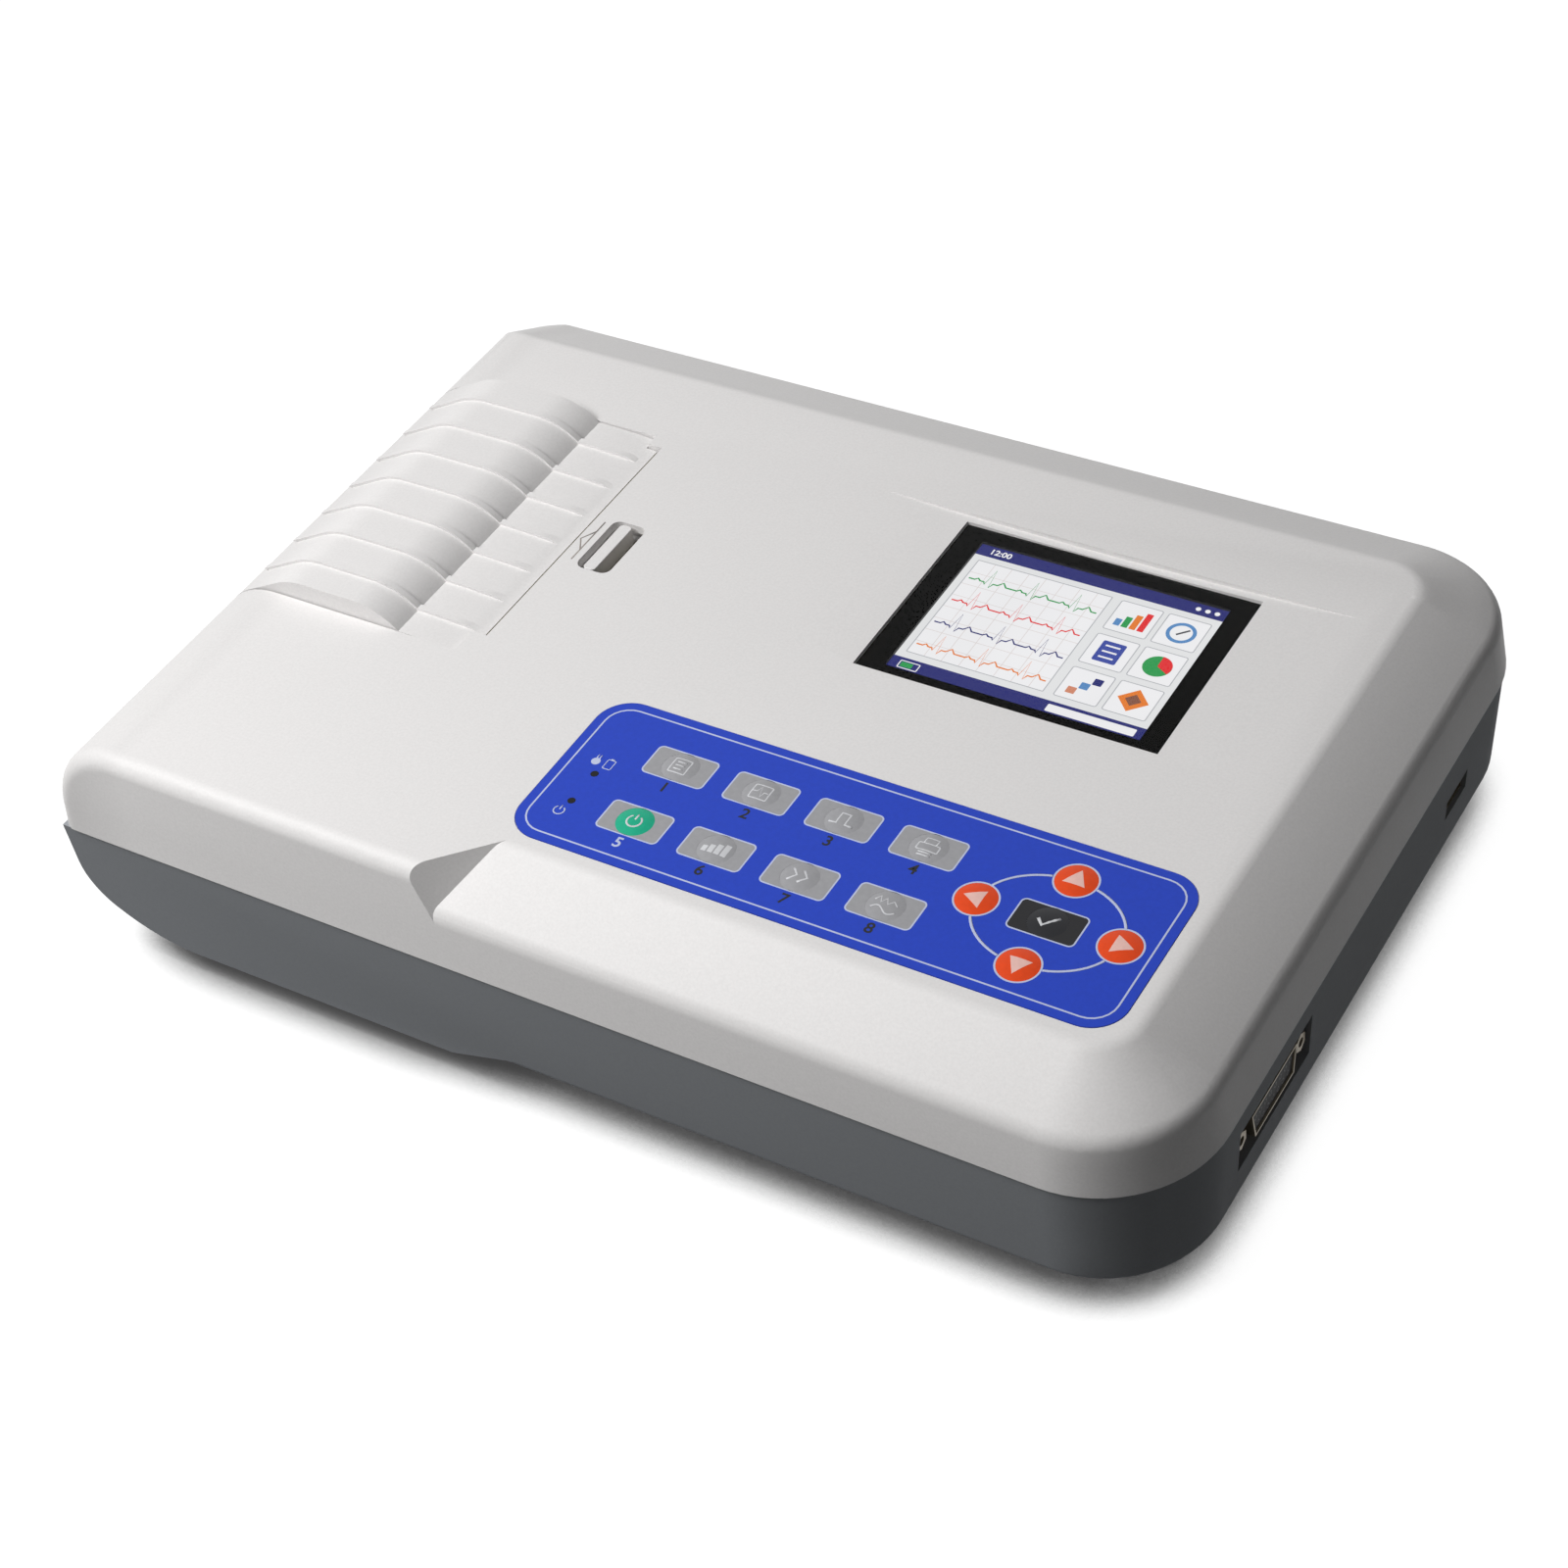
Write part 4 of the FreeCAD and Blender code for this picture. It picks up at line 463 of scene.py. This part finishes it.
def case_shells():
    """The white top, the grey base, the paper cover, the latch and the battery door."""
    rounded_copy("top_housing", "top_shell", "case", "case_white", 0.35)
    rounded_copy("base_housing", "base_shell", "case", "case_grey", 0.3)
    rounded_copy("paper_cover", "cover_shell", "cover", "case_white", 0.35)
    rounded_copy("cover_latch", "latch_slider", "latch", "case_white", 0.35)
    rounded_copy("battery_door", "battery_lid", "case", "case_grey", 0.3)


def latch_arrow():
    """The arrow beside the latch that shows which way it slides."""
    low, high = box_mm("cover_latch")
    middle = (low.y + high.y) / 2
    heel = low.x + 0.65
    tip = heel - 2.4
    half = 4.1
    bar = 8.4
    width = 0.45
    arrow = Print(plateau)
    arrow.line([(heel, middle - bar), (heel, middle + bar)], width)
    arrow.line([(heel, middle + half), (tip, middle), (heel, middle - half)], width)
    arrow.make("latch_arrow", GROOVE_INK, "case", "case_grey")


def latch_well():
    """Painted shade on the floor of the latch's recess, on both sides of the finger ridge: a dark print
    where the recess lies in shade.
    """
    low, high = box_mm("cover_latch")
    middle = (low.y + high.y) / 2
    start = low.x + LATCH_OVERLAP
    ridge_start = start + 2.1
    ridge_end = start + 5.8
    end = start + 10.2 + LATCH_TRAVEL
    length = 20.4
    margin = 0.1
    well = Print(high.z - RIDGE_RISE + INK)
    for left, right in ((start, ridge_start), (ridge_end, end)):
        well.fill(round_box((left + right) / 2, middle, right - left - margin, length, 0.4))
    well.make("latch_well", PAINTED_SHADE_INK, "latch", "dark_plastic")


def tear_strip():
    """The dark strip on the cover's edge, against which the paper is torn; its dark colour is partly the
    strip's own and partly painted shade of the paper slot.
    """
    low, high = box_mm("paper_cover")
    start = low.y + 8.4
    end = high.y - 4.4
    thickness = 0.3
    height = 1.6
    middle = (high.x + 0.14, (start + end) / 2, SLOT_EDGE - 0.95)
    shape = bmesh.new()
    bmesh.ops.create_cube(shape, size=1.0)
    bmesh.ops.scale(shape, vec=(thickness, end - start, height), verts=shape.verts)
    bmesh.ops.translate(shape, vec=middle, verts=shape.verts)
    bmesh.ops.bevel(shape, geom=shape.edges, offset=0.08, offset_type="OFFSET", segments=1, profile=0.5,
                    affect="EDGES", material=-1)
    # Its dark colour partly paints the shade of the paper slot.
    piece("tear_strip", shape, PAINTED_SHADE_INK, "cover")


def door_grip():
    """Finger ribs on the battery door."""
    low, high = box_mm("battery_door")
    middle = (low + high) / 2
    rib = (24.0, 1.2, 0.8)
    first = low.y + 8.0
    step = 2.6
    shape = bmesh.new()
    for row in range(5):
        made = bmesh.ops.create_cube(shape, size=1.0)
        bmesh.ops.scale(shape, vec=rib, verts=made["verts"])
        bmesh.ops.translate(shape, vec=(middle.x, first + step * row, low.z), verts=made["verts"])
    bmesh.ops.bevel(shape, geom=shape.edges, offset=0.3, offset_type="OFFSET", segments=2, profile=0.5,
                    affect="EDGES", material=-1)
    piece("door_grip", shape, FINISHES["case_grey"], "case")


def feet():
    """Four turned rubber feet, hollowed underneath, in the base's recesses."""
    low, high = box_mm("rubber_feet")
    top_radius = 8.0
    foot_radius = 6.5
    hollow = 2.6
    shape = bmesh.new()
    profile = [(0.0, 1.2), (hollow, 1.2), (hollow + 0.5, 0.3), (hollow + 0.9, 0.0),
               (foot_radius - 0.6, 0.0), (foot_radius, 0.6), (top_radius, high.z), (0.0, high.z)]
    corners = [shape.verts.new((radius, 0.0, height)) for radius, height in profile]
    edges = [shape.edges.new(pair) for pair in zip(corners, corners[1:])]
    bmesh.ops.spin(shape, geom=corners + edges, cent=(0, 0, 0), axis=(0, 0, 1), angle=2 * math.pi, steps=40,
                   use_merge=True)
    bmesh.ops.remove_doubles(shape, verts=shape.verts, dist=0.001)
    bmesh.ops.recalc_face_normals(shape, faces=shape.faces)
    foot = list(shape.faces)
    at = (low.x + top_radius, low.y + top_radius)
    bmesh.ops.translate(shape, vec=(*at, 0.0), verts=shape.verts)
    span = (high.x - low.x - 2 * top_radius, high.y - low.y - 2 * top_radius)
    for step in ((span[0], 0.0), (0.0, span[1]), span):
        copy = bmesh.ops.duplicate(shape, geom=foot)
        points = [item for item in copy["geom"] if isinstance(item, bmesh.types.BMVert)]
        bmesh.ops.translate(shape, vec=(*step, 0.0), verts=points)
    for face in shape.faces:
        face.smooth = True
    piece("feet", shape, FINISHES["foot_rubber"], "case", ["rubber_feet"])


# Keypad

def key_middle(key):
    """Middle of a key in plan."""
    middle = middle_of(key)
    return middle.x, middle.y


def film_print():
    """What is printed on the film: the border line, the key fields, the rings and the key numbers."""
    pale = Print(film_top)
    grey = Print(film_top)
    black = Print(film_top)
    middle = (film_low + film_high) / 2
    size = film_high - film_low
    inset = 2.4
    line = 0.45
    pale.fill(round_box(middle.x, middle.y, size.x - 2 * inset, size.y - 2 * inset, FILM_CORNER - inset),
              round_box(middle.x, middle.y, size.x - 2 * (inset + line), size.y - 2 * (inset + line),
                        FILM_CORNER - inset - line))
    for key in NUMBERED_KEYS + ("set_key",):
        x, y = key_middle(key)
        inner = round_box(x, y, FIELD_WIDTH - 2 * FIELD_RIM, FIELD_DEPTH - 2 * FIELD_RIM,
                          FIELD_CORNER - FIELD_RIM)
        pale.fill(round_box(x, y, FIELD_WIDTH, FIELD_DEPTH, FIELD_CORNER), inner)
        field = black if key == "set_key" else grey
        field.fill(inner, circle(x, y, KEY_RADIUS + FIELD_GAP))
    for number, key in enumerate(NUMBERED_KEYS, start=1):
        x, y = key_middle(key)
        ink = pale if key == "power_key" else black
        ink.figures(str(number), x, y - FIELD_DEPTH / 2 - NUMBER_DROP, NUMBER_SIZE)
    pad_x, pad_y = key_middle("set_key")
    reach_x = key_middle("right_key")[0] - pad_x
    reach_y = key_middle("up_key")[1] - pad_y
    rim = 0.45
    ring_line = 0.75
    hole = ARROW_RADIUS + FIELD_GAP
    arrows = [key_middle(key) for key in ARROW_KEYS]
    for x, y in arrows:
        pale.fill(circle(x, y, hole + rim), circle(x, y, hole))
    for quarter in range(4):
        turn = 90.0 * quarter
        whole = arc(pad_x, pad_y, reach_x, turn, turn + 90.0, 90, reach_y / reach_x)
        clear = [point for point in whole
                 if min(math.dist(point, arrow) for arrow in arrows) > hole + rim / 2]
        pale.line(clear, ring_line)
    lamp_signs(pale)
    pale.make("film_lines", PALE_INK, "case", "film_blue")
    grey.make("key_fields", FINISHES["key_grey"], "case", "key_grey")
    black.make("film_figures", BLACK_INK, "case", "key_black")


def power_sign(ink, x, y, radius, width):
    """The usual sign for power: a broken ring and a bar."""
    ink.line(arc(x, y, radius, 125.0, 415.0, 18), width)
    ink.line([(x, y + 0.2 * radius), (x, y + 1.25 * radius)], width)


def lamp_signs(ink):
    """Small signs beside the lamps: a battery over one, power under the other."""
    low, high = box_mm("indicator_lamps")
    x = (low.x + high.x) / 2
    ink.line(round_box(x + 1.6, high.y + 3.2, 2.2, 3.2, 0.3), 0.3, closed=True)
    ink.line([(x + 1.1, high.y + 5.1), (x + 2.1, high.y + 5.1)], 0.4)
    ink.fill(circle(x - 2.2, high.y + 3.0, 1.2))
    ink.line([(x - 2.6, high.y + 4.0), (x - 2.6, high.y + 5.4)], 0.35)
    ink.line([(x - 1.8, high.y + 4.0), (x - 1.8, high.y + 5.4)], 0.35)
    power_sign(ink, x - 1.0, low.y - 3.0, 1.4, 0.4)


def list_sign(ink, x, y):
    """A page with lines."""
    ink.line(round_box(x, y, 4.6, 4.8, 0.3), 0.4, closed=True)
    for row in (-1.2, 0.0, 1.2):
        ink.line([(x - 1.3, y + row), (x + 1.3, y + row)], 0.4)


def wave_sign(ink, x, y):
    """A page with a zigzag."""
    ink.line(round_box(x, y, 4.8, 4.6, 0.3), 0.4, closed=True)
    zigzag = ((-2.2, 0.0), (-1.0, 0.0), (-0.4, 1.6), (0.5, -1.6), (1.0, 0.0), (2.2, 0.0))
    ink.line(shifted(zigzag, x, y), 0.35)


def pulse_sign(ink, x, y):
    """A square pulse."""
    pulse = ((-3.2, -1.7), (-1.2, -1.7), (-1.2, 1.8), (1.2, 1.8), (1.2, -1.7), (3.2, -1.7))
    ink.line(shifted(pulse, x, y), 0.6)


def printer_sign(ink, x, y):
    """A printer with its sheet."""
    ink.line(round_box(x, y - 0.3, 5.6, 2.2, 0.3), 0.4, closed=True)
    ink.line([(x - 1.6, y + 0.9), (x - 1.6, y + 2.7), (x + 1.6, y + 2.7), (x + 1.6, y + 0.9)], 0.4)
    for row in (-2.1, -2.9):
        ink.line([(x - 1.8, y + row), (x + 1.8, y + row)], 0.4)


def switch_sign(ink, x, y):
    """The power sign on the green key."""
    power_sign(ink, x, y - 0.2, 1.9, 0.5)


def bars_sign(ink, x, y):
    """Four rising bars."""
    for step in range(4):
        height = 1.8 + 0.7 * step
        ink.fill(round_box(x - 2.7 + 1.8 * step, y - 1.9 + height / 2, 1.4, height, 0.15))


def speed_sign(ink, x, y):
    """Two chevrons."""
    for shift in (-1.6, 1.2):
        ink.line([(x + shift - 0.9, y + 2.0), (x + shift + 0.9, y), (x + shift - 0.9, y - 2.0)], 0.6)


def smooth_sign(ink, x, y):
    """A rough line over a smooth one."""
    rough = ((-3.2, 0.9), (-2.2, 2.4), (-1.4, 0.4), (-0.4, 2.0), (0.5, 0.2), (1.6, 1.6), (3.0, 0.4))
    ink.line(shifted(rough, x, y), 0.4)
    ink.line([(x - 3.2 + 0.4 * i, y - 1.6 + 0.9 * math.sin(0.4 * i)) for i in range(17)], 0.4)


def tick_sign(ink, x, y):
    """A tick on the middle key."""
    ink.line([(x - 2.4, y + 0.1), (x - 0.7, y - 1.7), (x + 2.5, y + 1.9)], 0.85)


KEY_SIGNS = {
    "menu_key": list_sign,
    "mode_key": wave_sign,
    "pulse_key": pulse_sign,
    "print_key": printer_sign,
    "power_key": switch_sign,
    "gain_key": bars_sign,
    "speed_key": speed_sign,
    "filter_key": smooth_sign,
    "set_key": tick_sign,
}


def key_signs():
    """The signs on the domes, which move with their keys."""
    for key, sign in KEY_SIGNS.items():
        x, y = key_middle(key)
        ink = Print(film_top)
        sign(ink, x, y)
        ink.make(key + "_sign", ICON_INK, key, "key_grey", dome(x, y, KEY_RADIUS))
    for key, turn in ARROW_KEYS.items():
        x, y = key_middle(key)
        ink = Print(film_top)
        ink.fill(arc(x, y, 3.3, turn, turn + 360.0, 3)[:-1])
        ink.make(key + "_sign", ARROW_INK, key, "key_orange", dome(x, y, ARROW_RADIUS))


# Display

class Picture:
    """The lit picture on the panel, drawn from its lower left corner, one piece for each colour."""

    def __init__(self):
        middle = (panel_low + panel_high) / 2
        self.left = middle.x - PICTURE_WIDTH / 2
        self.low = middle.y - PICTURE_HEIGHT / 2
        self.inks = {}

    def ink(self, colour, layer):
        """The ink of a colour on a layer over the panel."""
        if (colour, layer) not in self.inks:
            self.inks[colour, layer] = Print(panel_high.z + 0.02 + (2 * INK + 0.01) * layer)
        return self.inks[colour, layer]

    def at(self, points):
        """Points of the picture in the machine's frame."""
        return shifted(points, self.left, self.low)

    def patch(self, colour, layer, *outlines):
        self.ink(colour, layer).fill(*[self.at(outline) for outline in outlines])

    def stroke(self, colour, layer, points, width, closed=False):
        self.ink(colour, layer).line(self.at(points), width, closed)

    def figures(self, colour, layer, digits, x, y, size):
        self.ink(colour, layer).figures(digits, self.left + x, self.low + y, size)

    def make(self, colours):
        for (colour, layer), ink in self.inks.items():
            ink.make(f"picture_{colour}_{layer}", colours[colour], "case", "display_screen")


def beat(x, y, width, height):
    """One heart beat as a line."""
    shape = [(0.0, 0.0), (0.14, 0.0), (0.2, 0.14), (0.27, 0.0), (0.36, 0.0), (0.4, -0.16), (0.46, 1.0),
             (0.53, -0.32), (0.58, 0.0), (0.68, 0.0), (0.78, 0.28), (0.88, 0.0), (1.0, 0.0)]
    return [(x + width * a, y + height * b) for a, b in shape]


def trace_panel(picture, middle):
    """A ruled white panel on the left with four rows of beats in colour."""
    left = 2.2
    width = 38.4
    height = 39.2
    square = 4.9
    right = left + width
    low = middle - height / 2
    high = low + height
    border = round_box(left + width / 2, middle, width, height, 0.2)
    picture.patch("white", 0, border)
    for line in range(1, 8):
        up = low + square * line
        picture.stroke("pale_rule", 1, [(left, up), (right, up)], 0.18)
    for line in range(1, 8):
        across = left + square * line
        picture.stroke("pale_rule", 1, [(across, low), (across, high)], 0.18)
    picture.stroke("rule_grey", 2, border, 0.3, closed=True)
    beats = 3
    for row, colour in enumerate(("green", "red", "navy", "orange")):
        base = high - 7.4 - 9.4 * row
        for number in range(beats):
            run = (width - 2.0) / beats
            picture.stroke(colour, 3, beat(left + 1.0 + run * number, base, run, 5.2), 0.5)


def tiles(picture, middle):
    """Six plain tiles in two columns on the right: bars, a dial, a page, a pie, steps and a diamond."""
    side = 11.6
    columns = (49.2, 62.4)
    row_step = 13.8
    places = [(x, middle + row_step * (1 - row)) for row in range(3) for x in columns]
    for x, y in places:
        picture.patch("white", 0, round_box(x, y, side, side, 0.6))
        picture.stroke("rule_grey", 1, round_box(x, y, side, side, 0.6), 0.3, closed=True)
    x, y = places[0]
    for number, colour in enumerate(("sky_blue", "green", "orange", "red")):
        height = 2.6 + 1.5 * number
        picture.patch(colour, 1, round_box(x - 3.3 + 2.2 * number, y - 3.6 + height / 2, 1.7, height, 0.1))
    x, y = places[1]
    picture.patch("sky_blue", 1, circle(x, y, 3.9), circle(x, y, 2.9))
    picture.stroke("ink_grey", 1, [(x - 1.0, y - 1.0), (x + 1.7, y + 1.7)], 0.6)
    x, y = places[2]
    picture.patch("blue", 1, round_box(x, y, 6.4, 7.8, 0.5))
    for row in (-2.2, 0.0, 2.2):
        picture.stroke("white", 2, [(x - 2.0, y + row), (x + 2.0, y + row)], 0.6)
    x, y = places[3]
    picture.patch("green", 1, circle(x, y, 3.8))
    picture.patch("red", 2, [(x, y)] + arc(x, y, 3.8, -30.0, 90.0, 12))
    x, y = places[4]
    for step, colour in ((-2.5, "salmon"), (0.0, "sky_blue"), (2.5, "navy")):
        picture.patch(colour, 1, round_box(x + step, y + step, 2.4, 2.4, 0.2))
    x, y = places[5]
    picture.patch("orange", 1, arc(x, y, 4.2, 0.0, 270.0, 3))
    picture.patch("brown", 2, arc(x, y, 2.2, 0.0, 270.0, 3))


def lit_picture():
    """A plain start screen: navy bars with a clock and a battery, beats on the left, tiles on the right."""
    colours = {
        "navy": lit("picture_navy", srgb(36, 40, 112)),
        "white": lit("picture_white", srgb(236, 236, 238)),
        "pale_rule": lit("picture_pale_rule", srgb(216, 208, 206)),
        "rule_grey": lit("picture_rule_grey", srgb(178, 180, 184)),
        "ink_grey": lit("picture_ink_grey", srgb(66, 68, 74)),
        "sky_blue": lit("picture_sky_blue", srgb(86, 136, 190)),
        "blue": lit("picture_blue", srgb(58, 74, 158)),
        "red": lit("picture_red", srgb(222, 44, 48)),
        "orange": lit("picture_orange", srgb(226, 122, 44)),
        "green": lit("picture_green", srgb(42, 152, 78)),
        "brown": lit("picture_brown", srgb(132, 84, 66)),
        "salmon": lit("picture_salmon", srgb(206, 134, 106)),
    }
    picture = Picture()
    top_bar = 4.2
    low_bar = 5.0
    high = PICTURE_HEIGHT - top_bar / 2
    low = low_bar / 2
    picture.patch("navy", 0, round_box(PICTURE_WIDTH / 2, high, PICTURE_WIDTH, top_bar, 0.01))
    picture.patch("navy", 0, round_box(PICTURE_WIDTH / 2, low, PICTURE_WIDTH, low_bar, 0.01))
    picture.figures("white", 1, "12:00", 6.4, high, 2.8)
    for dot in range(3):
        picture.patch("white", 1, circle(62.4 + 2.6 * dot, high, 0.7))
    picture.stroke("white", 1, round_box(5.4, low, 5.4, 2.6, 0.3), 0.3, closed=True)
    picture.patch("green", 1, round_box(4.8, low, 3.2, 1.7, 0.1))
    picture.patch("white", 1, round_box(56.0, low, 24.0, 2.6, 0.3))
    middle = (low_bar + PICTURE_HEIGHT - top_bar) / 2
    trace_panel(picture, middle)
    tiles(picture, middle)
    picture.make(colours)


# Sockets, inlet and switch

def hex_posts():
    """The two hexagonal jack posts beside the patient socket."""
    low, high = box_mm("jack_posts")
    middle = (low + high) / 2
    half = (high.z - low.z) / 2
    radius = half * 1.12
    bore = 1.3
    length = high.x - low.x
    shape = bmesh.new()
    for y in (low.y + half, high.y - half):
        outer = bmesh.ops.create_circle(shape, cap_ends=False, segments=24, radius=radius)["verts"]
        for corner in outer:
            turn = math.atan2(corner.co.y, corner.co.x)
            part = (turn + math.pi) % (math.pi / 3) - math.pi / 6
            corner.co *= math.cos(math.pi / 6) / math.cos(part)
        inner = bmesh.ops.create_circle(shape, cap_ends=False, segments=24, radius=bore)["verts"]
        rims = [edge for edge in shape.edges if edge.verts[0] in outer + inner and not edge.link_faces]
        ring = bmesh.ops.bridge_loops(shape, edges=rims)["faces"]
        grown = bmesh.ops.extrude_face_region(shape, geom=ring)["geom"]
        tops = [item for item in grown if isinstance(item, bmesh.types.BMVert)]
        bmesh.ops.translate(shape, vec=(0.0, 0.0, length), verts=tops)
        turn = Matrix.Translation((low.x, y, middle.z)) @ Matrix.Rotation(math.pi / 2, 4, "Y")
        bmesh.ops.transform(shape, matrix=turn, verts=outer + inner + tops)
    bmesh.ops.recalc_face_normals(shape, faces=shape.faces)
    piece("hex_posts", shape, FINISHES["socket_metal"], "case", ["jack_posts"])


def socket_contacts():
    """Fifteen round contacts in the patient socket's insert, in rows of eight and seven, drawn dark as
    painted shade.
    """
    low, high = box_mm("patient_socket_insert")
    middle = (low + high) / 2
    pitch = 2.77
    row_gap = 2.84
    upper = [((i - 3.5) * pitch, row_gap / 2) for i in range(8)]
    lower = [((i - 3) * pitch, -row_gap / 2) for i in range(7)]
    ink = Print(0.0)
    for across, up in upper + lower:
        ink.fill(circle(across, up, 0.75), circle(across, up, 0.45))
    face = Matrix(((0, 0, 1, high.x), (1, 0, 0, middle.y), (0, 1, 0, middle.z), (0, 0, 0, 1)))
    # The contacts are drawn in dark plastic, not metal: painted shade of the deep socket.
    ink.make("socket_contacts", FINISHES["dark_plastic"], "case", "dark_plastic", place=face)


def usb_contacts():
    """Four gilt strips under the USB socket's tongue."""
    low, high = box_mm("usb_tongue")
    middle = (low + high) / 2
    shape = bmesh.new()
    for across in (-3.5, -1.0, 1.0, 3.5):
        made = bmesh.ops.create_cube(shape, size=1.0)["verts"]
        bmesh.ops.scale(shape, vec=(high.x - low.x - 2.0, 1.0, 0.2), verts=made)
        bmesh.ops.translate(shape, vec=(middle.x, middle.y + across, low.z), verts=made)
    bmesh.ops.bevel(shape, geom=shape.edges, offset=0.06, offset_type="OFFSET", segments=1, profile=0.5,
                    affect="EDGES", material=-1)
    piece("usb_contacts", shape, FINISHES["brass"], "case")


def rear_fittings():
    """The mains inlet, the rocker and its frame with soft edges, and the rocker's two marks."""
    rounded_copy("mains_inlet", "inlet_body", "case", "socket_black", 0.25)
    rounded_copy("rocker_frame", "rocker_bezel", "case", "socket_black", 0.25)
    rounded_copy("power_rocker", "rocker_paddle", "rocker", "socket_black", 0.25)
    rounded_copy("inlet_pins", "inlet_blades", "case", "brass", 0.2)
    low, high = box_mm("power_rocker")
    middle = (low + high) / 2
    tip = (high.z - low.z) / 2
    wedge = 2.4
    flat = high.y - wedge
    ring = Print(0.0)
    ring.fill(circle(0.0, 0.0, 1.7), circle(0.0, 0.0, 1.2))
    upright = Matrix(((-1, 0, 0, middle.x), (0, 0, 1, flat), (0, 1, 0, middle.z + tip / 2), (0, 0, 0, 1)))
    ring.make("rocker_ring", WHITE_INK, "rocker", "socket_black", place=upright)
    lean = math.atan2(wedge, tip)
    bar = Print(0.0)
    bar.fill(round_box(0.0, 0.0, 0.6, 3.4, 0.2))
    slope = (Matrix.Translation((middle.x, (flat + high.y) / 2, middle.z - tip / 2))
             @ Matrix.Rotation(lean, 4, "X")
             @ Matrix(((-1, 0, 0, 0), (0, 0, 1, 0), (0, 1, 0, 0), (0, 0, 0, 1))))
    bar.make("rocker_bar", WHITE_INK, "rocker", "socket_black", place=slope)


# Studio

def photo_camera():
    """The photograph's viewpoint: right of the front, above, a little turned."""
    lens = bpy.data.cameras.new("photo_camera")
    lens.lens = 72.29
    lens.sensor_width = 36.0
    camera = bpy.data.objects.new("photo_camera", lens)
    right = (0.8583, 0.5023, -0.1054)
    up = (-0.2767, 0.6258, 0.7293)
    back = (0.4323, -0.5967, 0.6760)
    camera.matrix_world = (Matrix.Translation((0.3529, -0.49865, 0.5833))
                           @ Matrix((right, up, back)).transposed().to_4x4())
    scene.collection.objects.link(camera)
    scene.camera = camera


def seen_directly(tree):
    """Whether a ray comes from the camera, a gloss or a glass, as a number."""
    path = tree.nodes.new("ShaderNodeLightPath")
    flags = [path.outputs[name] for name in ("Is Camera Ray", "Is Glossy Ray", "Is Transmission Ray")]
    total = flags[0]
    for flag in flags[1:]:
        either = tree.nodes.new("ShaderNodeMath")
        either.operation = "MAXIMUM"
        tree.links.new(total, either.inputs[0])
        tree.links.new(flag, either.inputs[1])
        total = either.outputs["Value"]
    return total


def white_world():
    """A white room that lights the machine softly."""
    world = bpy.data.worlds.new("white_room")
    world.use_nodes = True
    tree = world.node_tree
    tree.nodes.clear()
    soft = tree.nodes.new("ShaderNodeBackground")
    soft.inputs["Color"].default_value = (0.97, 0.98, 1.0, 1.0)
    soft.inputs["Strength"].default_value = 0.06
    white = tree.nodes.new("ShaderNodeBackground")
    white.inputs["Color"].default_value = (1.0, 1.0, 1.0, 1.0)
    mix = tree.nodes.new("ShaderNodeMixShader")
    out = tree.nodes.new("ShaderNodeOutputWorld")
    tree.links.new(seen_directly(tree), mix.inputs[0])
    tree.links.new(soft.outputs[0], mix.inputs[1])
    tree.links.new(white.outputs[0], mix.inputs[2])
    tree.links.new(mix.outputs[0], out.inputs["Surface"])
    scene.world = world


def pale_floor():
    """A pale table top that shows white and keeps the machine's shadow."""
    shape = bmesh.new()
    bmesh.ops.create_grid(shape, x_segments=1, y_segments=1, size=3.0)
    mesh = bpy.data.meshes.new("table_top")
    shape.to_mesh(mesh)
    shape.free()
    finish = bpy.data.materials.new("table_white")
    finish.use_nodes = True
    tree = finish.node_tree
    tree.nodes.clear()
    paint = tree.nodes.new("ShaderNodeBsdfDiffuse")
    paint.inputs["Color"].default_value = (0.12, 0.12, 0.12, 1.0)
    # The floor's white glow is dimmed by ambient occlusion near the machine: a contact shadow drawn by the
    # floor's material, not cast by the lamp.
    near = tree.nodes.new("ShaderNodeAmbientOcclusion")
    near.inputs["Distance"].default_value = 0.02
    contact_shadow_fade = tree.nodes.new("ShaderNodeMapRange")
    contact_shadow_fade.interpolation_type = "SMOOTHSTEP"
    contact_shadow_fade.inputs["From Min"].default_value = 0.44
    contact_shadow_fade.inputs["From Max"].default_value = 0.79
    contact_shadow_fade.inputs["To Min"].default_value = 0.05
    glow = tree.nodes.new("ShaderNodeEmission")
    level = tree.nodes.new("ShaderNodeMath")
    level.operation = "MULTIPLY"
    both = tree.nodes.new("ShaderNodeAddShader")
    out = tree.nodes.new("ShaderNodeOutputMaterial")
    tree.links.new(seen_directly(tree), level.inputs[0])
    tree.links.new(near.outputs["AO"], contact_shadow_fade.inputs["Value"])
    tree.links.new(contact_shadow_fade.outputs["Result"], level.inputs[1])
    tree.links.new(level.outputs["Value"], glow.inputs["Strength"])
    tree.links.new(paint.outputs[0], both.inputs[0])
    tree.links.new(glow.outputs[0], both.inputs[1])
    tree.links.new(both.outputs[0], out.inputs["Surface"])
    mesh.materials.append(finish)
    floor = bpy.data.objects.new("table_top", mesh)
    scene.collection.objects.link(floor)


def soft_lamp(name, place, target, size, power):
    """A square soft box that faces a target."""
    light = bpy.data.lights.new(name, "AREA")
    light.size = size
    light.energy = power
    lamp = bpy.data.objects.new(name, light)
    lamp.location = place
    lamp.rotation_euler = (Vector(target) - Vector(place)).to_track_quat("-Z", "Y").to_euler()
    scene.collection.objects.link(lamp)


def studio():
    """Camera, floor, room and a soft box over the front left."""
    photo_camera()
    white_world()
    pale_floor()
    soft_lamp("key_box", (-0.58, -0.47, 1.00), (0.0, 0.0, 0.05), 0.7, 15.6)
    scene.view_settings.view_transform = "Standard"


case_shells()
latch_arrow()
latch_well()
tear_strip()
door_grip()
feet()
film_print()
key_signs()
lit_picture()
hex_posts()
socket_contacts()
usb_contacts()
rear_fittings()
studio()
